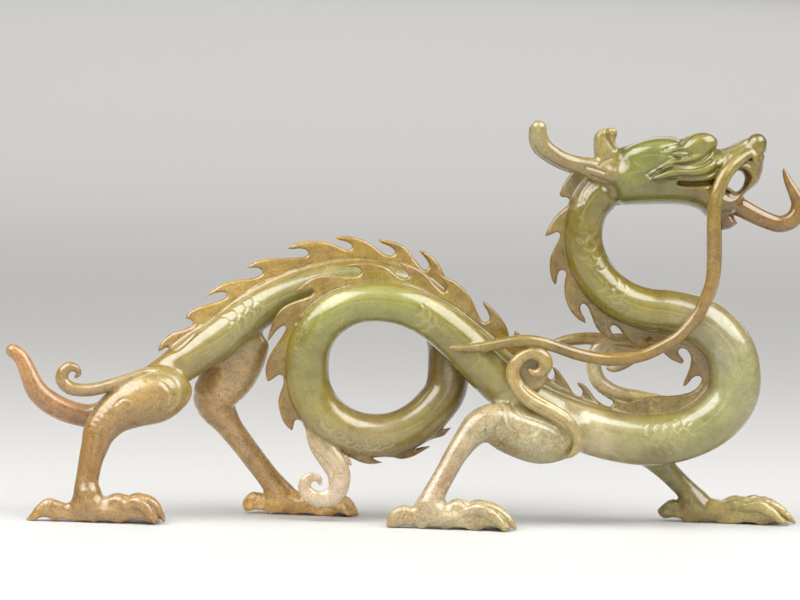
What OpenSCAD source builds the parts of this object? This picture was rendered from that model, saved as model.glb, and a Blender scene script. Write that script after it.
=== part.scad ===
// Walking dragon, a hardstone (jade) table carving.
// The dragon walks to +X. Its right side faces -Y, its left side faces +Y, and it stands on Z = 0.
// All of its features are one piece of stone; each named node below is one carved feature, and
// neighbours meet face to face without overlapping.

/* [Overall] */
// Length of the drawing sheet, about the carving from tail knob to beard, in millimetres
figure_length = 266.7; // [240:1:300]
// Distance of each foot from the middle plane, in millimetres
foot_spread = 18; // [16:0.5:20]

/* [Body] */
// Girth of the body against its drawn girth
body_girth = 1; // [0.92:0.01:1.04]
// Sides of the body's cross section
body_sides = 16; // [12:2:18]

/* [Crest] */
// Thickness of the crest fins, in millimetres
crest_thickness = 2; // [1.4:0.1:3]

/* [Scrolls and whiskers] */
// Thickness of the flat scrolls, in millimetres
scroll_thickness = 4.6; // [3.6:0.1:6]
// Girth of the whiskers against their drawn girth
whisker_girth = 1; // [0.85:0.05:1.2]

/* [Feet] */
// Thickness of one toe, in millimetres
toe_thickness = 4.2; // [3.4:0.1:5]
// Angle between neighbouring toes, in degrees
toe_splay = 15; // [10:1:18]

/* [Hidden] */

jade = [0.56, 0.62, 0.36];
pale = [0.66, 0.66, 0.42];
rind = [0.55, 0.38, 0.20];

// ---------------------------------------------------------------- drawing sheet
// Side-view points are drawn on a sheet of 800 steps along the figure_length, u to the right and
// v downward, turned by a small angle so that the soles lie level. y is the depth in millimetres
// at the default length. sink lowers what stands further back, as on a sheet drawn from slightly above.
step = figure_length / 800;
k = figure_length / 266.7;
turn = 1.1;
sink = 0.068;
function X(u, v) = ((u - 400) * cos(turn) - (525 - v) * sin(turn)) * step;
function Z(u, v, y = 0) = ((u - 400) * sin(turn) + (525 - v) * cos(turn) - 2.2) * step - sink * y * k;
function P(q) = [X(q[0], q[1]), q[3] * k, Z(q[0], q[1], q[3]), q[2] * step];
function flat_pt(q, y = 0) = [X(q[0], q[1]), Z(q[0], q[1], y)];

// ---------------------------------------------------------------- curves
function cr(a, b, c, d, t) = 0.5 * (2 * b + (c - a) * t + (2 * a - 5 * b + 4 * c - d) * t * t
                             + (3 * b - a - 3 * c + d) * t * t * t);
// a smooth curve through the points, n steps to each gap
function smooth(p, n) = n <= 1 ? p : concat(
    [for (i = [0 : len(p) - 2], j = [0 : n - 1])
        cr(p[max(i - 1, 0)], p[i], p[i + 1], p[min(i + 2, len(p) - 1)], j / n)],
    [p[len(p) - 1]]);
function unit(a) = a / max(norm(a), 1e-6);
function xyz(q) = [q[0], q[1], q[2]];
function heading(p, i) = unit(xyz(p[min(i + 1, len(p) - 1)]) - xyz(p[max(i - 1, 0)]));
function across(t) = unit([0, 1, 0] - t * t[1]);
function ring(q, t, n, w) = let (b = across(t), m = cross(t, b))
    [for (j = [0 : n - 1]) xyz(q) + q[3] * (cos(360 * j / n) * m + w * sin(360 * j / n) * b)];
// a dome on the end of a swept limb
function dome(q, t, w) = [for (a = [30, 58, 80])
    concat(xyz(q) + t * q[3] * sin(a), [q[3] * cos(a)])];

// A solid swept along points [x, y, z, radius]; w is depth against height of the cross section
module sweep(p, n, w = 1, w_end = undef) {
    last = len(p) - 1;
    we = is_undef(w_end) ? w : w_end;
    pts = [for (i = [0 : last]) each ring(p[i], heading(p, i), n, w + (we - w) * i / last)];
    faces = concat(
        [[for (j = [n - 1 : -1 : 0]) j]],
        [for (i = [0 : last - 1], j = [0 : n - 1]) each
            [[i * n + j, (i + 1) * n + (j + 1) % n, (i + 1) * n + j],
             [i * n + j, i * n + (j + 1) % n, (i + 1) * n + (j + 1) % n]]],
        [[for (j = [0 : n - 1]) last * n + j]]);
    polyhedron(pts, faces);
}
// A limb drawn by sheet points, smoothed, with a dome on either end if asked
module limb(d, n, steps = 2, w = 1, w_end = undef, head = false, foot = false) {
    p = smooth([for (q = d) P(q)], steps);
    a = head ? dome(p[0], -heading(p, 0), w) : [];
    b = foot ? dome(p[len(p) - 1], heading(p, len(p) - 1), w) : [];
    sweep(concat([for (i = [len(a) - 1 : -1 : 0]) a[i]], p, b), n, w, w_end);
}
// One closed body of triangles
module whole() resize([0, 0, 0]) children();
// A plate in the side plane, centred on depth y
module plate(pts, y, t) translate([0, y * k + t * k / 2, 0]) rotate([90, 0, 0])
    linear_extrude(t * k) polygon([for (q = pts) flat_pt(q, y)]);

// ---------------------------------------------------------------- body line
// u, v, radius, depth, from the nape down the neck, round the breast, forward over the loop,
// round it and back over the hips
SPINE = [
    [600,192,21,0], [590,205,20,0], [584,222,19.5,0], [583,242,19.5,0], [588,262,20,0], [598,279,20.5,0],
    [612,293,21,0], [630,304,21.5,0], [650,310,22,0], [668,312,22.5,0], [688,317,23.5,0], [706,324,24.5,0],
    [721,338,25,0], [731,354,25.5,0], [735,374,26,0], [733,394,26,0], [722,411,26,0], [705,425,26,0],
    [680,436,26,0], [649,440,26,0], [620,437,26,0], [590,429,26,0], [560,416,26,0], [535,403,26,-1],
    [512,388,26,-2], [492,371,25,-4], [475,354,24,-6], [458,338,23,-7], [440,323,22,-8], [420,311,21.5,-8.5],
    [400,304,21,-9], [378,301.5,20.5,-9], [356,303.5,20.5,-9], [336,312,21,-8.5], [320,326,21.5,-7.5],
    [310,345,22,-6.5], [307,366,22,-5.5], [309,388,22,-4.5], [318,407,22,-3.5], [334,423,22,-2.5],
    [355,433,22,-1], [378,436,22,0], [400,433,22,1], [420,424,22,2.5], [436,409,21.5,4], [446,390,21,5],
    [449,365,21,6], [448,342,21,7], [440,319,21,7.8], [425,300,21,8], [405,287,20.5,8], [382,280,20,8],
    [355,279,19.5,8], [328,282,19,7], [302,289,19,6], [278,299,19.5,5], [255,312,20,4], [234,327,20.5,2.5],
    [215,341,20.5,1], [195,354,20,0], [175,368,19,0], [150,385,18,0], [125,400,15,0]];
BODY = let (p = smooth([for (q = SPINE) P(q)], 2)) [for (q = p) [q[0], q[1], q[2], q[3] * body_girth]];
// part of the body between two of its drawn points; neighbours share a ring exactly
module body_part(a, b) {
    p = [for (i = [2 * a : 2 * b]) BODY[i]];
    last = len(p) - 1;
    n = body_sides;
    pts = [for (i = [0 : last]) each ring(p[i], heading(BODY, 2 * a + i), n, 1)];
    faces = concat(
        [[for (j = [n - 1 : -1 : 0]) j]],
        [for (i = [0 : last - 1], j = [0 : n - 1]) each
            [[i * n + j, (i + 1) * n + (j + 1) % n, (i + 1) * n + j],
             [i * n + j, i * n + (j + 1) % n, (i + 1) * n + (j + 1) % n]]],
        [[for (j = [0 : n - 1]) last * n + j]]);
    polyhedron(pts, faces);
}
NAPE = 0; THROAT = 10; ELBOW = 23; OVER = 39; RISE = 48; RUMP = 62;

// ---------------------------------------------------------------- crest fins
// Each fin leans back to its tip and has a round notch under the tip.
// [fin start, bulge of the outer edge, tip, notch, root, depth]
function bez(a, b, c, n) = [for (i = [0 : n]) let (t = i / n) (1 - t) * (1 - t) * a + 2 * t * (1 - t) * b + t * t * c];
function fin_pts(f) = let (s = f[0] + 2.6 * unit(f[4] - f[0]) + 2 * unit(f[0] - f[3]), bulge = f[1], tip = f[2],
        notch = f[3], root = f[4], under = (tip + notch) / 2 + 0.35 * (root - (tip + notch) / 2))
    concat(bez(s, bulge, tip, 4), [under], [notch], [root + 0.55 * (notch - root)], [root], [root + 0.55 * (s - root)]);
module fins(list) for (f = list) plate(fin_pts(f), f[5], crest_thickness);

NECK_FINS = [
    [[584,181],[572,184],[559,195],[568,199],[592,200],0], [[568,199],[552,212],[545,236],[560,233],[585,225],0],
    [[560,233],[549,258],[554,284],[562,271],[586,250],0], [[562,271],[564,300],[585,321],[584,305],[602,281],0]];
BREAST_FINS = [
    [[584,303],[595,330],[619,341],[612,325],[622,300],0], [[612,325],[628,344],[650,350],[650,336],[650,310],0],
    [[650,336],[664,356],[684,362],[681,349],[680,318],0], [[681,349],[694,362],[683,387],[699,378],[728,368],0],
    [[704,384],[680,388],[640,400],[660,412],[700,425],0], [[660,410],[625,395],[603,393],[613,404],[640,438],0],
    [[613,404],[600,386],[577,382],[580,397],[600,430],0], [[580,399],[566,378],[548,364],[552,384],[570,415],-1]];
FORE_FINS = [
    [[518,352],[520,342],[515,329],[505,336],[500,372],-3], [[508,336],[503,315],[482,301],[487,321],[480,350],-5],
    [[487,321],[478,300],[444,276],[447,291],[445,322],-7], [[447,291],[430,272],[405,266],[407,277],[412,306],-8],
    [[407,277],[400,266],[380,258],[376,270],[380,302],-9], [[378,272],[368,264],[344,265],[360,274],[352,304],-9]];
LOOP_FINS = [
    [[362,276],[330,266],[297,291],[313,291],[336,312],-9], [[313,291],[282,300],[268,341],[286,327],[312,340],-8],
    [[286,327],[263,348],[269,381],[283,375],[307,366],-6], [[283,375],[272,400],[293,431],[297,420],[313,398],-5],
    [[330,440],[348,461],[383,463],[371,455],[360,433],-1], [[371,455],[400,466],[430,447],[416,446],[395,433],1],
    [[416,446],[440,444],[452,428],[440,426],[420,424],2.5]];
BACK_FINS = [
    [[452,300],[447,262],[420,250],[426,269],[440,316],8], [[426,269],[410,244],[378,239],[393,254],[405,287],8],
    [[393,254],[372,232],[335,236],[350,249],[360,279],8], [[350,249],[326,236],[287,248],[307,253],[316,284],7],
    [[307,253],[278,248],[246,267],[262,272],[276,299],5.5], [[262,272],[234,272],[204,299],[226,295],[238,322],3.5],
    [[226,295],[203,298],[185,318],[193,322],[208,342],1.5], [[193,322],[172,326],[158,351],[169,348],[182,362],0]];

// ---------------------------------------------------------------- head
SKULL = [[606,186],[600,176],[606,164],[617,150],[625,145],[640,140],[650,137],[660,135],[670,135],[680,138],
    [690,134],[700,132],[706,132],[711,136],[714,142],[718,148],[724,147],[730,145],[740,140],[750,135],[756,134],
    [760,135],[763,139],[765,145],[763,152],[763,158],[762,170],[759,181],[750,189],[744,194],[738,191],[743,187],
    [746,182],[746,176],[742,172],[737,171],[731,173],[727,178],[725,183],[709,183],[680,184],[665,192],[652,205],
    [620,206],[612,196]];
JAW = [[680,184],[709,183],[725,183],[730,187],[738,191],[744,194],[742,200],[737,208],[728,212],[716,216],
    [706,217],[700,211],[688,206],[670,205],[652,205],[665,192]];
// plan of the head: half widths along u
HEAD_PLAN = [[596,8],[612,10.5],[640,11],[675,11],[705,10.5],[716,8.5],[735,7.5],[752,7.5],[766,6]];
module head_layers(pts) {
    for (l = [[22, 0], [17, 1.2], [12.5, 0]]) if (l[1] == 0 && l[0] > 20)
        translate([0, 11 * k, 0]) rotate([90, 0, 0]) linear_extrude(22 * k)
            offset(delta = -2.4 * k) polygon([for (q = pts) flat_pt(q)]);
    else if (l[1] > 0)
        translate([0, 8.6 * k, 0]) rotate([90, 0, 0]) linear_extrude(17.2 * k)
            offset(delta = -1.1 * k) polygon([for (q = pts) flat_pt(q)]);
    else
        translate([0, 6.2 * k, 0]) rotate([90, 0, 0]) linear_extrude(12.4 * k)
            polygon([for (q = pts) flat_pt(q)]);
}
module head_plan() translate([0, 0, 90 * k]) linear_extrude(60 * k) polygon(concat(
    [for (q = HEAD_PLAN) [X(q[0], 170), q[1] * k]],
    [for (i = [len(HEAD_PLAN) - 1 : -1 : 0]) [X(HEAD_PLAN[i][0], 170), -HEAD_PLAN[i][1] * k]]));
module skull_raw() intersection() { head_layers(SKULL); head_plan(); }
module jaw_raw() intersection() { head_layers(JAW); head_plan(); }

function flip(d) = [for (q = d) [q[0], q[1], q[2], -q[3]]];
function shift(d, u, v = 0, y = 0) = [for (q = d) [q[0] + u, q[1] + v, q[2], q[3] + y]];
function thin(d, g) = [for (q = d) [q[0], q[1], q[2] * g, q[3]]];

ANTLER = [[616,172,9,-5.5], [604,170,10.5,-6], [592,168,10.5,-6.5], [577,165.5,8.5,-7.5], [562,161,8,-8.5],
    [550,154,8.5,-9.5], [541,146,9,-10.2], [538,136,8.5,-10.8], [538,129,7,-11]];
EAR = [[609,160,8,-6], [606,150,8.5,-6.6], [605,141,10,-7.2], [606,136,9,-7.6]];
BEARD_CURL = [[734,202,8,0], [746,207,9,0], [757,215,9,0], [768,221,8.5,0], [779,224,8.5,0], [790,221,8.5,0],
    [797,213,8.5,0], [798,203,7.5,0], [794,193,6.5,0], [789,184,5,0], [785,176,3.5,0], [783,170,1.6,0]];
CHIN_TUFT = [[712,210,5,-1],[719,230,2,-3],[725,230,2,-3],[730,228,2,-3],[736,224,2,-3],[735,220,2,-3],[731,214,2,-3],[730,206,2,-3]];
WHISKER = [[750,153,5,-6.6], [739,160,6,-8], [729,168,6.5,-9.4], [722,177,7,-10.4], [717,188,7,-11], [714,202,7,-11.2],
    [713,222,7,-11], [713,242,7,-10.6], [713,262,6.8,-10.4], [711,282,6.5,-10.2], [706,297,6.5,-10], [699,312,6.5,-9.8],
    [689,325,6.3,-9.6], [677,337,6.2,-9.5], [662,346,6.3,-9.5], [645,354,6.3,-9.6], [628,358,6.5,-9.8],
    [610,359,6.5,-10], [592,357,6.3,-10.6], [575,353,6.3,-11.4], [560,348,6,-12.4], [545,343,6,-13.2],
    [530,340,6,-13.8], [515,341,6,-14], [500,343,6,-14], [480,347,5,-14.2], [462,348,3.4,-14.4], [450,348,1.6,-14.6]];

// ---------------------------------------------------------------- legs, u v radius depth
FORELEG = [[562,432,24,-6], [540,434,28,-7], [515,430,28,-8.5], [495,424,24,-10], [479,426,17,-11.5], [468,437,13,-13],
    [455,455,11,-14.5], [445,473,10.5,-16], [436,489,11,-17.4], [430,503,12.5,-foot_spread]];
FORELEG_FAR = [[606,430,20,7], [622,432,24,8.5], [640,440,24,10.5], [653,453,18,12.5], [664,467,13,14.5],
    [676,480,12,16.4], [688,493,12,17.6], [694,502,12.5,foot_spread]];
HINDLEG = [[184,390,18,-6], [170,392,24,-7], [150,394,27,-8.5], [128,403,24,-10], [110,416,19,-12], [99,434,14.5,-13.6],
    [95,450,13.5,-15], [90,468,11.5,-16.4], [87,484,11.5,-17.4], [87,500,12.5,-foot_spread]];
HINDLEG_FAR = [[262,346,15,5], [248,356,22,7], [230,374,26,9.5], [212,399,22,12], [224,424,14.5,14], [238,443,12.5,15.4],
    [252,462,12,16.6], [266,480,12,17.5], [278,494,13,foot_spread]];

// feet: side outline forward of the ankle, side outline of the heel claw, ankle u
HINDFOOT = [[[76,492],[104,492],[110,496],[115,494],[121,493],[127,494],[132,496],[138,493],[144,493],[150,495],
    [156,500],[162,507],[164,513],[163,518],[152,521],[140,517],[130,517],[120,524],[76,524]],
    [[100,492],[74,492],[66,502],[62,501],[56,498],[50,496],[44,498],[37,503],[31,511],[27,519],[40,519],[55,524],[100,524]], 88];
FOREFOOT = [[[418,496],[446,496],[448,503],[453,502],[458,499],[463,499],[469,502],[475,503],[483,500],[491,501],
    [500,504],[508,510],[513,516],[515,524],[508,530],[499,526],[490,525],[476,532],[418,532]],
    [[444,496],[420,494],[409,505],[403,504],[398,505],[392,508],[388,513],[386,520],[398,522],[410,531],[444,532]], 432];
HINDFOOT_FAR = [[[266,486],[292,486],[300,496],[310,498],[320,495],[330,497],[344,496],[350,500],[355,505],[358,512],
    [358,518],[350,516],[340,515],[328,521],[266,521]],
    [[290,486],[268,486],[262,498],[256,494],[250,494],[244,498],[241,506],[252,513],[266,521],[290,521]], 280];
FOREFOOT_FAR = [[[682,496],[708,494],[718,502],[728,503],[737,500],[744,498],[755,499],[768,498],[775,501],[782,506],
    [789,511],[794,517],[797,526],[785,523],[776,523],[764,529],[682,530]],
    [[706,496],[684,496],[681,504],[676,502],[670,503],[664,506],[659,512],[668,519],[680,530],[706,530]], 696];
module toe(pts, side, u, t, a) translate([X(u, 510), side * foot_spread * k, 0]) rotate([0, 0, a])
    translate([-X(u, 510), -side * foot_spread * k, 0]) plate(pts, side * foot_spread, t);
function lower(pts, v) = [for (q = pts) [q[0], q[1] + v]];
module foot_raw(f, side) difference() {
    union() {
        toe(f[0], side, f[2], toe_thickness, 0);
        toe(lower(f[0], 1.7), side, f[2] + 0.7, toe_thickness * 0.93, toe_splay);
        toe(lower(f[0], 1.1), side, f[2] + 0.7, toe_thickness * 0.93, -toe_splay);
        toe(lower(f[1], 0.6), side, f[2], toe_thickness * 1.15, 0);
    }
    translate([X(f[2], 510) - 60 * k, side * foot_spread * k - 30 * k, -20 * k]) cube([120 * k, 60 * k, 20 * k]);
}

// ---------------------------------------------------------------- scrolls, u v radius depth
SHOULDER_SCROLL = [[529,370,2,-13.5], [534,373,3.5,-13.6], [541,371,5.5,-13.6], [545,364,7,-13.6], [541,356,7.4,-13.6],
    [532,353,6.8,-13.6], [522,356,6.5,-13.5], [515,363,7,-13.4], [512,372,7,-13.3], [515,383,7.5,-13.3], [522,392,8,-13.4],
    [532,400,8,-13.7], [545,407,7.5,-14], [558,414,7,-14], [570,424,6.5,-13.6], [577,436,5,-13], [577,448,3,-12.4]];
SHOULDER_SCROLL_FAR = [[613,370,2,12.6], [618,373,3.5,12.6], [625,371,5.5,12.6], [629,364,7,12.6], [625,356,7.4,12.6],
    [616,353,6.8,12.6], [606,356,6.5,12.6], [599,363,7,12.4], [596,372,7,12.2], [599,383,7.5,12], [608,391,7.5,11.6],
    [622,396,7.5,11], [640,401,7.5,10.4], [660,405,7,9.6], [680,408,6.5,8.8], [698,411,5,8]];
HIP_SCROLL = [[78,375,2,-14], [80,371,2.6,-14], [76,367,4,-14], [69,366,5.5,-14], [63,372,6,-14], [63,380,6.5,-14],
    [70,387,6.5,-14], [80,390,6.5,-14], [92,389,5.8,-14], [105,386,5.4,-14], [120,381,5.4,-14.2], [135,376,5.6,-14.2],
    [150,371,6,-13.6], [164,370,5,-12]];
BELLY_SCROLL = [[320,484,2,-5], [318,478,3.8,-5], [311,477,5,-5], [305,483,6.4,-5], [306,491,7,-5], [313,498,8,-5],
    [322,500,8.5,-5], [332,497,9.5,-5], [339,488,10.5,-5], [341,476,10.5,-5], [337,465,10.5,-5], [327,455,8.5,-5],
    [317,444,6,-5], [310,430,3.4,-5]];
TAIL = [[125,400,15,0], [110,410,13,0], [92,415,12,0], [77,413,11.6,0], [62,408,11.8,0], [48,400,11.6,0], [37,390,10.8,0],
    [30,378,9.5,0], [24,366,8.4,0], [19,356,8,0], [13,350,7,0]];

module scroll_raw(d) {
    r = max([for (q = d) q[2]]) * step;
    limb(d, 10, 1, scroll_thickness * k / 2 / r * 1.25, undef, true, true);
}
module foreleg_r() limb(FORELEG, 14, 2, 0.78, 1, true);
module foreleg_l() limb(FORELEG_FAR, 14, 2, 0.78, 1, true);
module hindleg_r() limb(HINDLEG, 14, 2, 0.78, 1, true);
module hindleg_l() limb(HINDLEG_FAR, 14, 2, 0.78, 1, true);
module whisker_r() limb(thin(WHISKER, whisker_girth), 8, 1, 1, undef, true, true);
module whisker_l() limb(thin(flip([for (i = [0 : 20]) WHISKER[i]]), whisker_girth), 8, 1, 1, undef, true, true);

// ---------------------------------------------------------------- the nodes
module skull() color(jade) whole() difference() { skull_raw(); body_part(NAPE, 3); }
module lower_jaw() color(jade) whole() jaw_raw();
module beard_curl() color(pale) whole() difference() { limb(BEARD_CURL, 10, 1, 0.9, 0.7, false, true); jaw_raw(); skull_raw(); }
module antler_right() color(pale) whole() difference() { limb(ANTLER, 10, 1, 0.9, 0.9, true, true); skull_raw(); body_part(NAPE, 3); }
module antler_left() color(pale) whole() difference() { limb(flip(ANTLER), 10, 1, 0.9, 0.9, true, true); skull_raw(); body_part(NAPE, 3); }
module ear_right() color(pale) whole() difference() { limb(EAR, 10, 1, 0.6, 0.5, true, true); skull_raw(); limb(ANTLER, 10, 1, 0.9, 0.9, true, true); }
module ear_left() color(pale) whole() difference() { limb(flip(EAR), 10, 1, 0.6, 0.5, true, true); skull_raw(); limb(flip(ANTLER), 10, 1, 0.9, 0.9, true, true); }
module chin_tuft() color(jade) whole() difference() {
    plate([for (q = CHIN_TUFT) [q[0], q[1]]], 0, 7);
    jaw_raw(); skull_raw(); limb(BEARD_CURL, 10, 1, 0.9, 0.7, false, true);
    whisker_r(); whisker_l();
}
module whisker_right() color(pale) whole() difference() {
    whisker_r();
    skull_raw(); jaw_raw(); body_part(THROAT, ELBOW); body_part(NAPE, THROAT); body_part(ELBOW, OVER); scroll_raw(SHOULDER_SCROLL);
}
module whisker_left() color(pale) whole() difference() {
    whisker_l();
    skull_raw(); jaw_raw(); body_part(THROAT, ELBOW); body_part(NAPE, THROAT); scroll_raw(SHOULDER_SCROLL_FAR);
}
module neck() color(jade) body_part(NAPE, THROAT);
module breast() color(jade) body_part(THROAT, ELBOW);
module forebody() color(jade) whole() difference() { body_part(ELBOW, OVER); }
module loop_coil() color(jade) whole() difference() { body_part(OVER, RISE); body_part(ELBOW, OVER - 1); }
module hindbody() color(jade) whole() difference() { body_part(RISE, RUMP); body_part(ELBOW, OVER); }
module tail() color(rind) whole() difference() { limb(TAIL, 14, 2, 1, 1, false, true); hindleg_r(); }

module neck_crest() color(rind) whole() difference() { fins(NECK_FINS); body_part(NAPE, THROAT); body_part(THROAT, 15); limb(ANTLER, 10, 1, 0.9, 0.9, true, true); skull_raw(); }
module breast_crest() color(rind) whole() difference() {
    fins(BREAST_FINS);
    body_part(THROAT, ELBOW); body_part(NAPE, THROAT); body_part(ELBOW, OVER); fins(NECK_FINS);
}
module loop_crest() color(rind) whole() difference() {
    union() { fins(FORE_FINS); fins(LOOP_FINS); }
    body_part(ELBOW, OVER); body_part(OVER, RISE); body_part(RISE, RUMP); body_part(THROAT, ELBOW);
    whisker_r(); scroll_raw(SHOULDER_SCROLL); scroll_raw(BELLY_SCROLL);
}
module back_crest() color(rind) whole() difference() {
    fins(BACK_FINS);
    body_part(RISE, RUMP); body_part(ELBOW, OVER); body_part(OVER, RISE); hindleg_l(); hindleg_r();
    fins(FORE_FINS);
}
module foreleg_right() color(rind) whole() difference() { foreleg_r(); body_part(THROAT, ELBOW); body_part(ELBOW, OVER); foot_raw(FOREFOOT, -1); }
module foreleg_left() color(rind) whole() difference() { foreleg_l(); body_part(THROAT, ELBOW); foot_raw(FOREFOOT_FAR, 1); }
module hindleg_right() color(rind) whole() difference() { hindleg_r(); body_part(RISE, RUMP); foot_raw(HINDFOOT, -1); }
module hindleg_left() color(rind) whole() difference() { hindleg_l(); body_part(RISE, RUMP); foot_raw(HINDFOOT_FAR, 1); }
module forefoot_right() color(rind) whole() foot_raw(FOREFOOT, -1);
module forefoot_left() color(rind) whole() foot_raw(FOREFOOT_FAR, 1);
module hindfoot_right() color(rind) whole() foot_raw(HINDFOOT, -1);
module hindfoot_left() color(rind) whole() foot_raw(HINDFOOT_FAR, 1);
module shoulder_scroll_right() color(pale) whole() difference() { scroll_raw(SHOULDER_SCROLL); body_part(THROAT, ELBOW); body_part(ELBOW, OVER); foreleg_r(); }
module shoulder_scroll_left() color(pale) whole() difference() { scroll_raw(SHOULDER_SCROLL_FAR); body_part(THROAT, ELBOW); foreleg_l(); }
module hip_scroll() color(pale) whole() difference() { scroll_raw(HIP_SCROLL); hindleg_r(); body_part(RISE, RUMP); limb(TAIL, 14, 2, 1, 1, false, true); }
module belly_scroll() color(pale) whole() difference() { scroll_raw(BELLY_SCROLL); body_part(OVER, RISE); }

skull();
lower_jaw();
beard_curl();
antler_right();
antler_left();
ear_right();
ear_left();
chin_tuft();
whisker_right();
whisker_left();
neck();
breast();
forebody();
loop_coil();
hindbody();
tail();
neck_crest();
breast_crest();
loop_crest();
back_crest();
foreleg_right();
foreleg_left();
hindleg_right();
hindleg_left();
forefoot_right();
forefoot_left();
hindfoot_right();
hindfoot_left();
shoulder_scroll_right();
shoulder_scroll_left();
hip_scroll();
belly_scroll();
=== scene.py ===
"""Jade walking dragon. Every carved feature is sculpted as a distance field on a fine grid, all features are blended
into one continuous stone surface, and each CAD node gets its own share of that surface as a closed mesh."""

import math
import time

import bpy
import numpy as np
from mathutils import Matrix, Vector


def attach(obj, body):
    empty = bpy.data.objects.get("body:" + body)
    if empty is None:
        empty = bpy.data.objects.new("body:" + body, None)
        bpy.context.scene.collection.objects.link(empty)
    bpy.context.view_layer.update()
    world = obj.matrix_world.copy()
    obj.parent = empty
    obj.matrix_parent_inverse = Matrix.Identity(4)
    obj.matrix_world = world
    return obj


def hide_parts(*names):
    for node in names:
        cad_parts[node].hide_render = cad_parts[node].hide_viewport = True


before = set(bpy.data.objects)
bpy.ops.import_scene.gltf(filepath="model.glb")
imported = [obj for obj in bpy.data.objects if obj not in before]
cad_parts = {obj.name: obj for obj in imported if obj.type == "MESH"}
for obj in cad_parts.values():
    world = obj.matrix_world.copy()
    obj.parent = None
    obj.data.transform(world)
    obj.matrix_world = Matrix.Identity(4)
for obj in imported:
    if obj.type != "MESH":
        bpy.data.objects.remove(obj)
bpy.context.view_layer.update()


T0 = time.time()
H = 0.36  # grid pitch, mm
BIG = np.float32(9.0)
MARGIN = 3.2  # how far beyond a shape its field is worked out, mm

# ---------------------------------------------------------------- drawing sheet (the same as the CAD design's)
STEP = 266.7 / 800
TURN = math.radians(1.1)
CT, ST = math.cos(TURN), math.sin(TURN)
SINK = 0.068


def PX(u, v):
    return ((u - 400) * CT - (525 - v) * ST) * STEP


def PZ(u, v, y=0.0):
    return ((u - 400) * ST + (525 - v) * CT - 2.2) * STEP - SINK * y


def P(u, v, y=0.0):
    return np.array([PX(u, v), y, PZ(u, v, y)])


def to_sheet(x, z, y):
    """Back from mm to sheet steps, for colours and engraving."""
    a = x / STEP
    b = (z + SINK * y) / STEP + 2.2
    du = a * CT + b * ST
    dv = -a * ST + b * CT
    return 400 + du, 525 - dv


# ---------------------------------------------------------------- curves
def catmull(p, n):
    p = np.asarray(p, float)
    m = len(p)
    out = []
    for i in range(m - 1):
        a, b, c, d = p[max(i - 1, 0)], p[i], p[i + 1], p[min(i + 2, m - 1)]
        for j in range(n):
            t = j / n
            out.append(
                0.5
                * (
                    2 * b
                    + (c - a) * t
                    + (2 * a - 5 * b + 4 * c - d) * t * t
                    + (3 * b - a - 3 * c + d) * t**3
                )
            )
    out.append(p[-1])
    return np.array(out)


def line3(rows, n=4, w=1.0, w_end=None):
    """rows of (u, v, radius in sheet steps, y in mm[, depth/height]) -> (x, y, z, r, w) samples in mm."""
    full = []
    last = max(len(rows) - 1, 1)
    for i, q in enumerate(rows):
        ww = q[4] if len(q) > 4 else (w if w_end is None else w + (w_end - w) * i / last)
        full.append((PX(q[0], q[1]), q[3], PZ(q[0], q[1], q[3]), q[2] * STEP, ww))
    s = catmull(full, n)
    s[:, 3] = np.maximum(s[:, 3], 0.12)
    return s


def sheet_line(pts, n=4, closed=False):
    """2-D points in sheet steps -> smooth samples in sheet steps."""
    p = np.asarray(pts, float)
    if closed:
        return catmull(np.vstack([p[-2:], p, p[:2]]), n)[2 * n : -2 * n][: len(p) * n]
    return catmull(p, n)


# ---------------------------------------------------------------- fields
class Field:
    def __init__(self, lo, hi):
        self.i0 = np.floor((np.asarray(lo) - MARGIN) / H).astype(int)
        i1 = np.ceil((np.asarray(hi) + MARGIN) / H).astype(int)
        self.n = i1 - self.i0 + 1
        self.a = np.full(self.n, BIG, np.float32)

    def sub(self, lo, hi, margin=MARGIN):
        a = np.maximum(np.floor((np.asarray(lo) - margin) / H).astype(int) - self.i0, 0)
        b = np.minimum(np.ceil((np.asarray(hi) + margin) / H).astype(int) - self.i0 + 1, self.n)
        if (b <= a).any():
            return None
        return tuple(slice(int(p), int(q)) for p, q in zip(a, b))

    def axes(self, sl=None):
        out = []
        for k in range(3):
            s = slice(0, int(self.n[k])) if sl is None else sl[k]
            v = ((np.arange(s.start, s.stop) + self.i0[k]) * H).astype(np.float32)
            shape = [1, 1, 1]
            shape[k] = len(v)
            out.append(v.reshape(shape))
        return out


def smin(a, b, k):
    if k <= 0:
        return np.minimum(a, b)
    h = np.maximum(np.float32(k) - np.abs(a - b), 0) * np.float32(1 / k)
    return np.minimum(a, b) - h * h * np.float32(k / 4)


def smax(a, b, k):
    return -smin(-a, -b, k)


def chain_extent(s):
    r = s[:, 3:4] * np.maximum(1, s[:, 4:5])
    return (s[:, :3] - r).min(0), (s[:, :3] + r).max(0)


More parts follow.
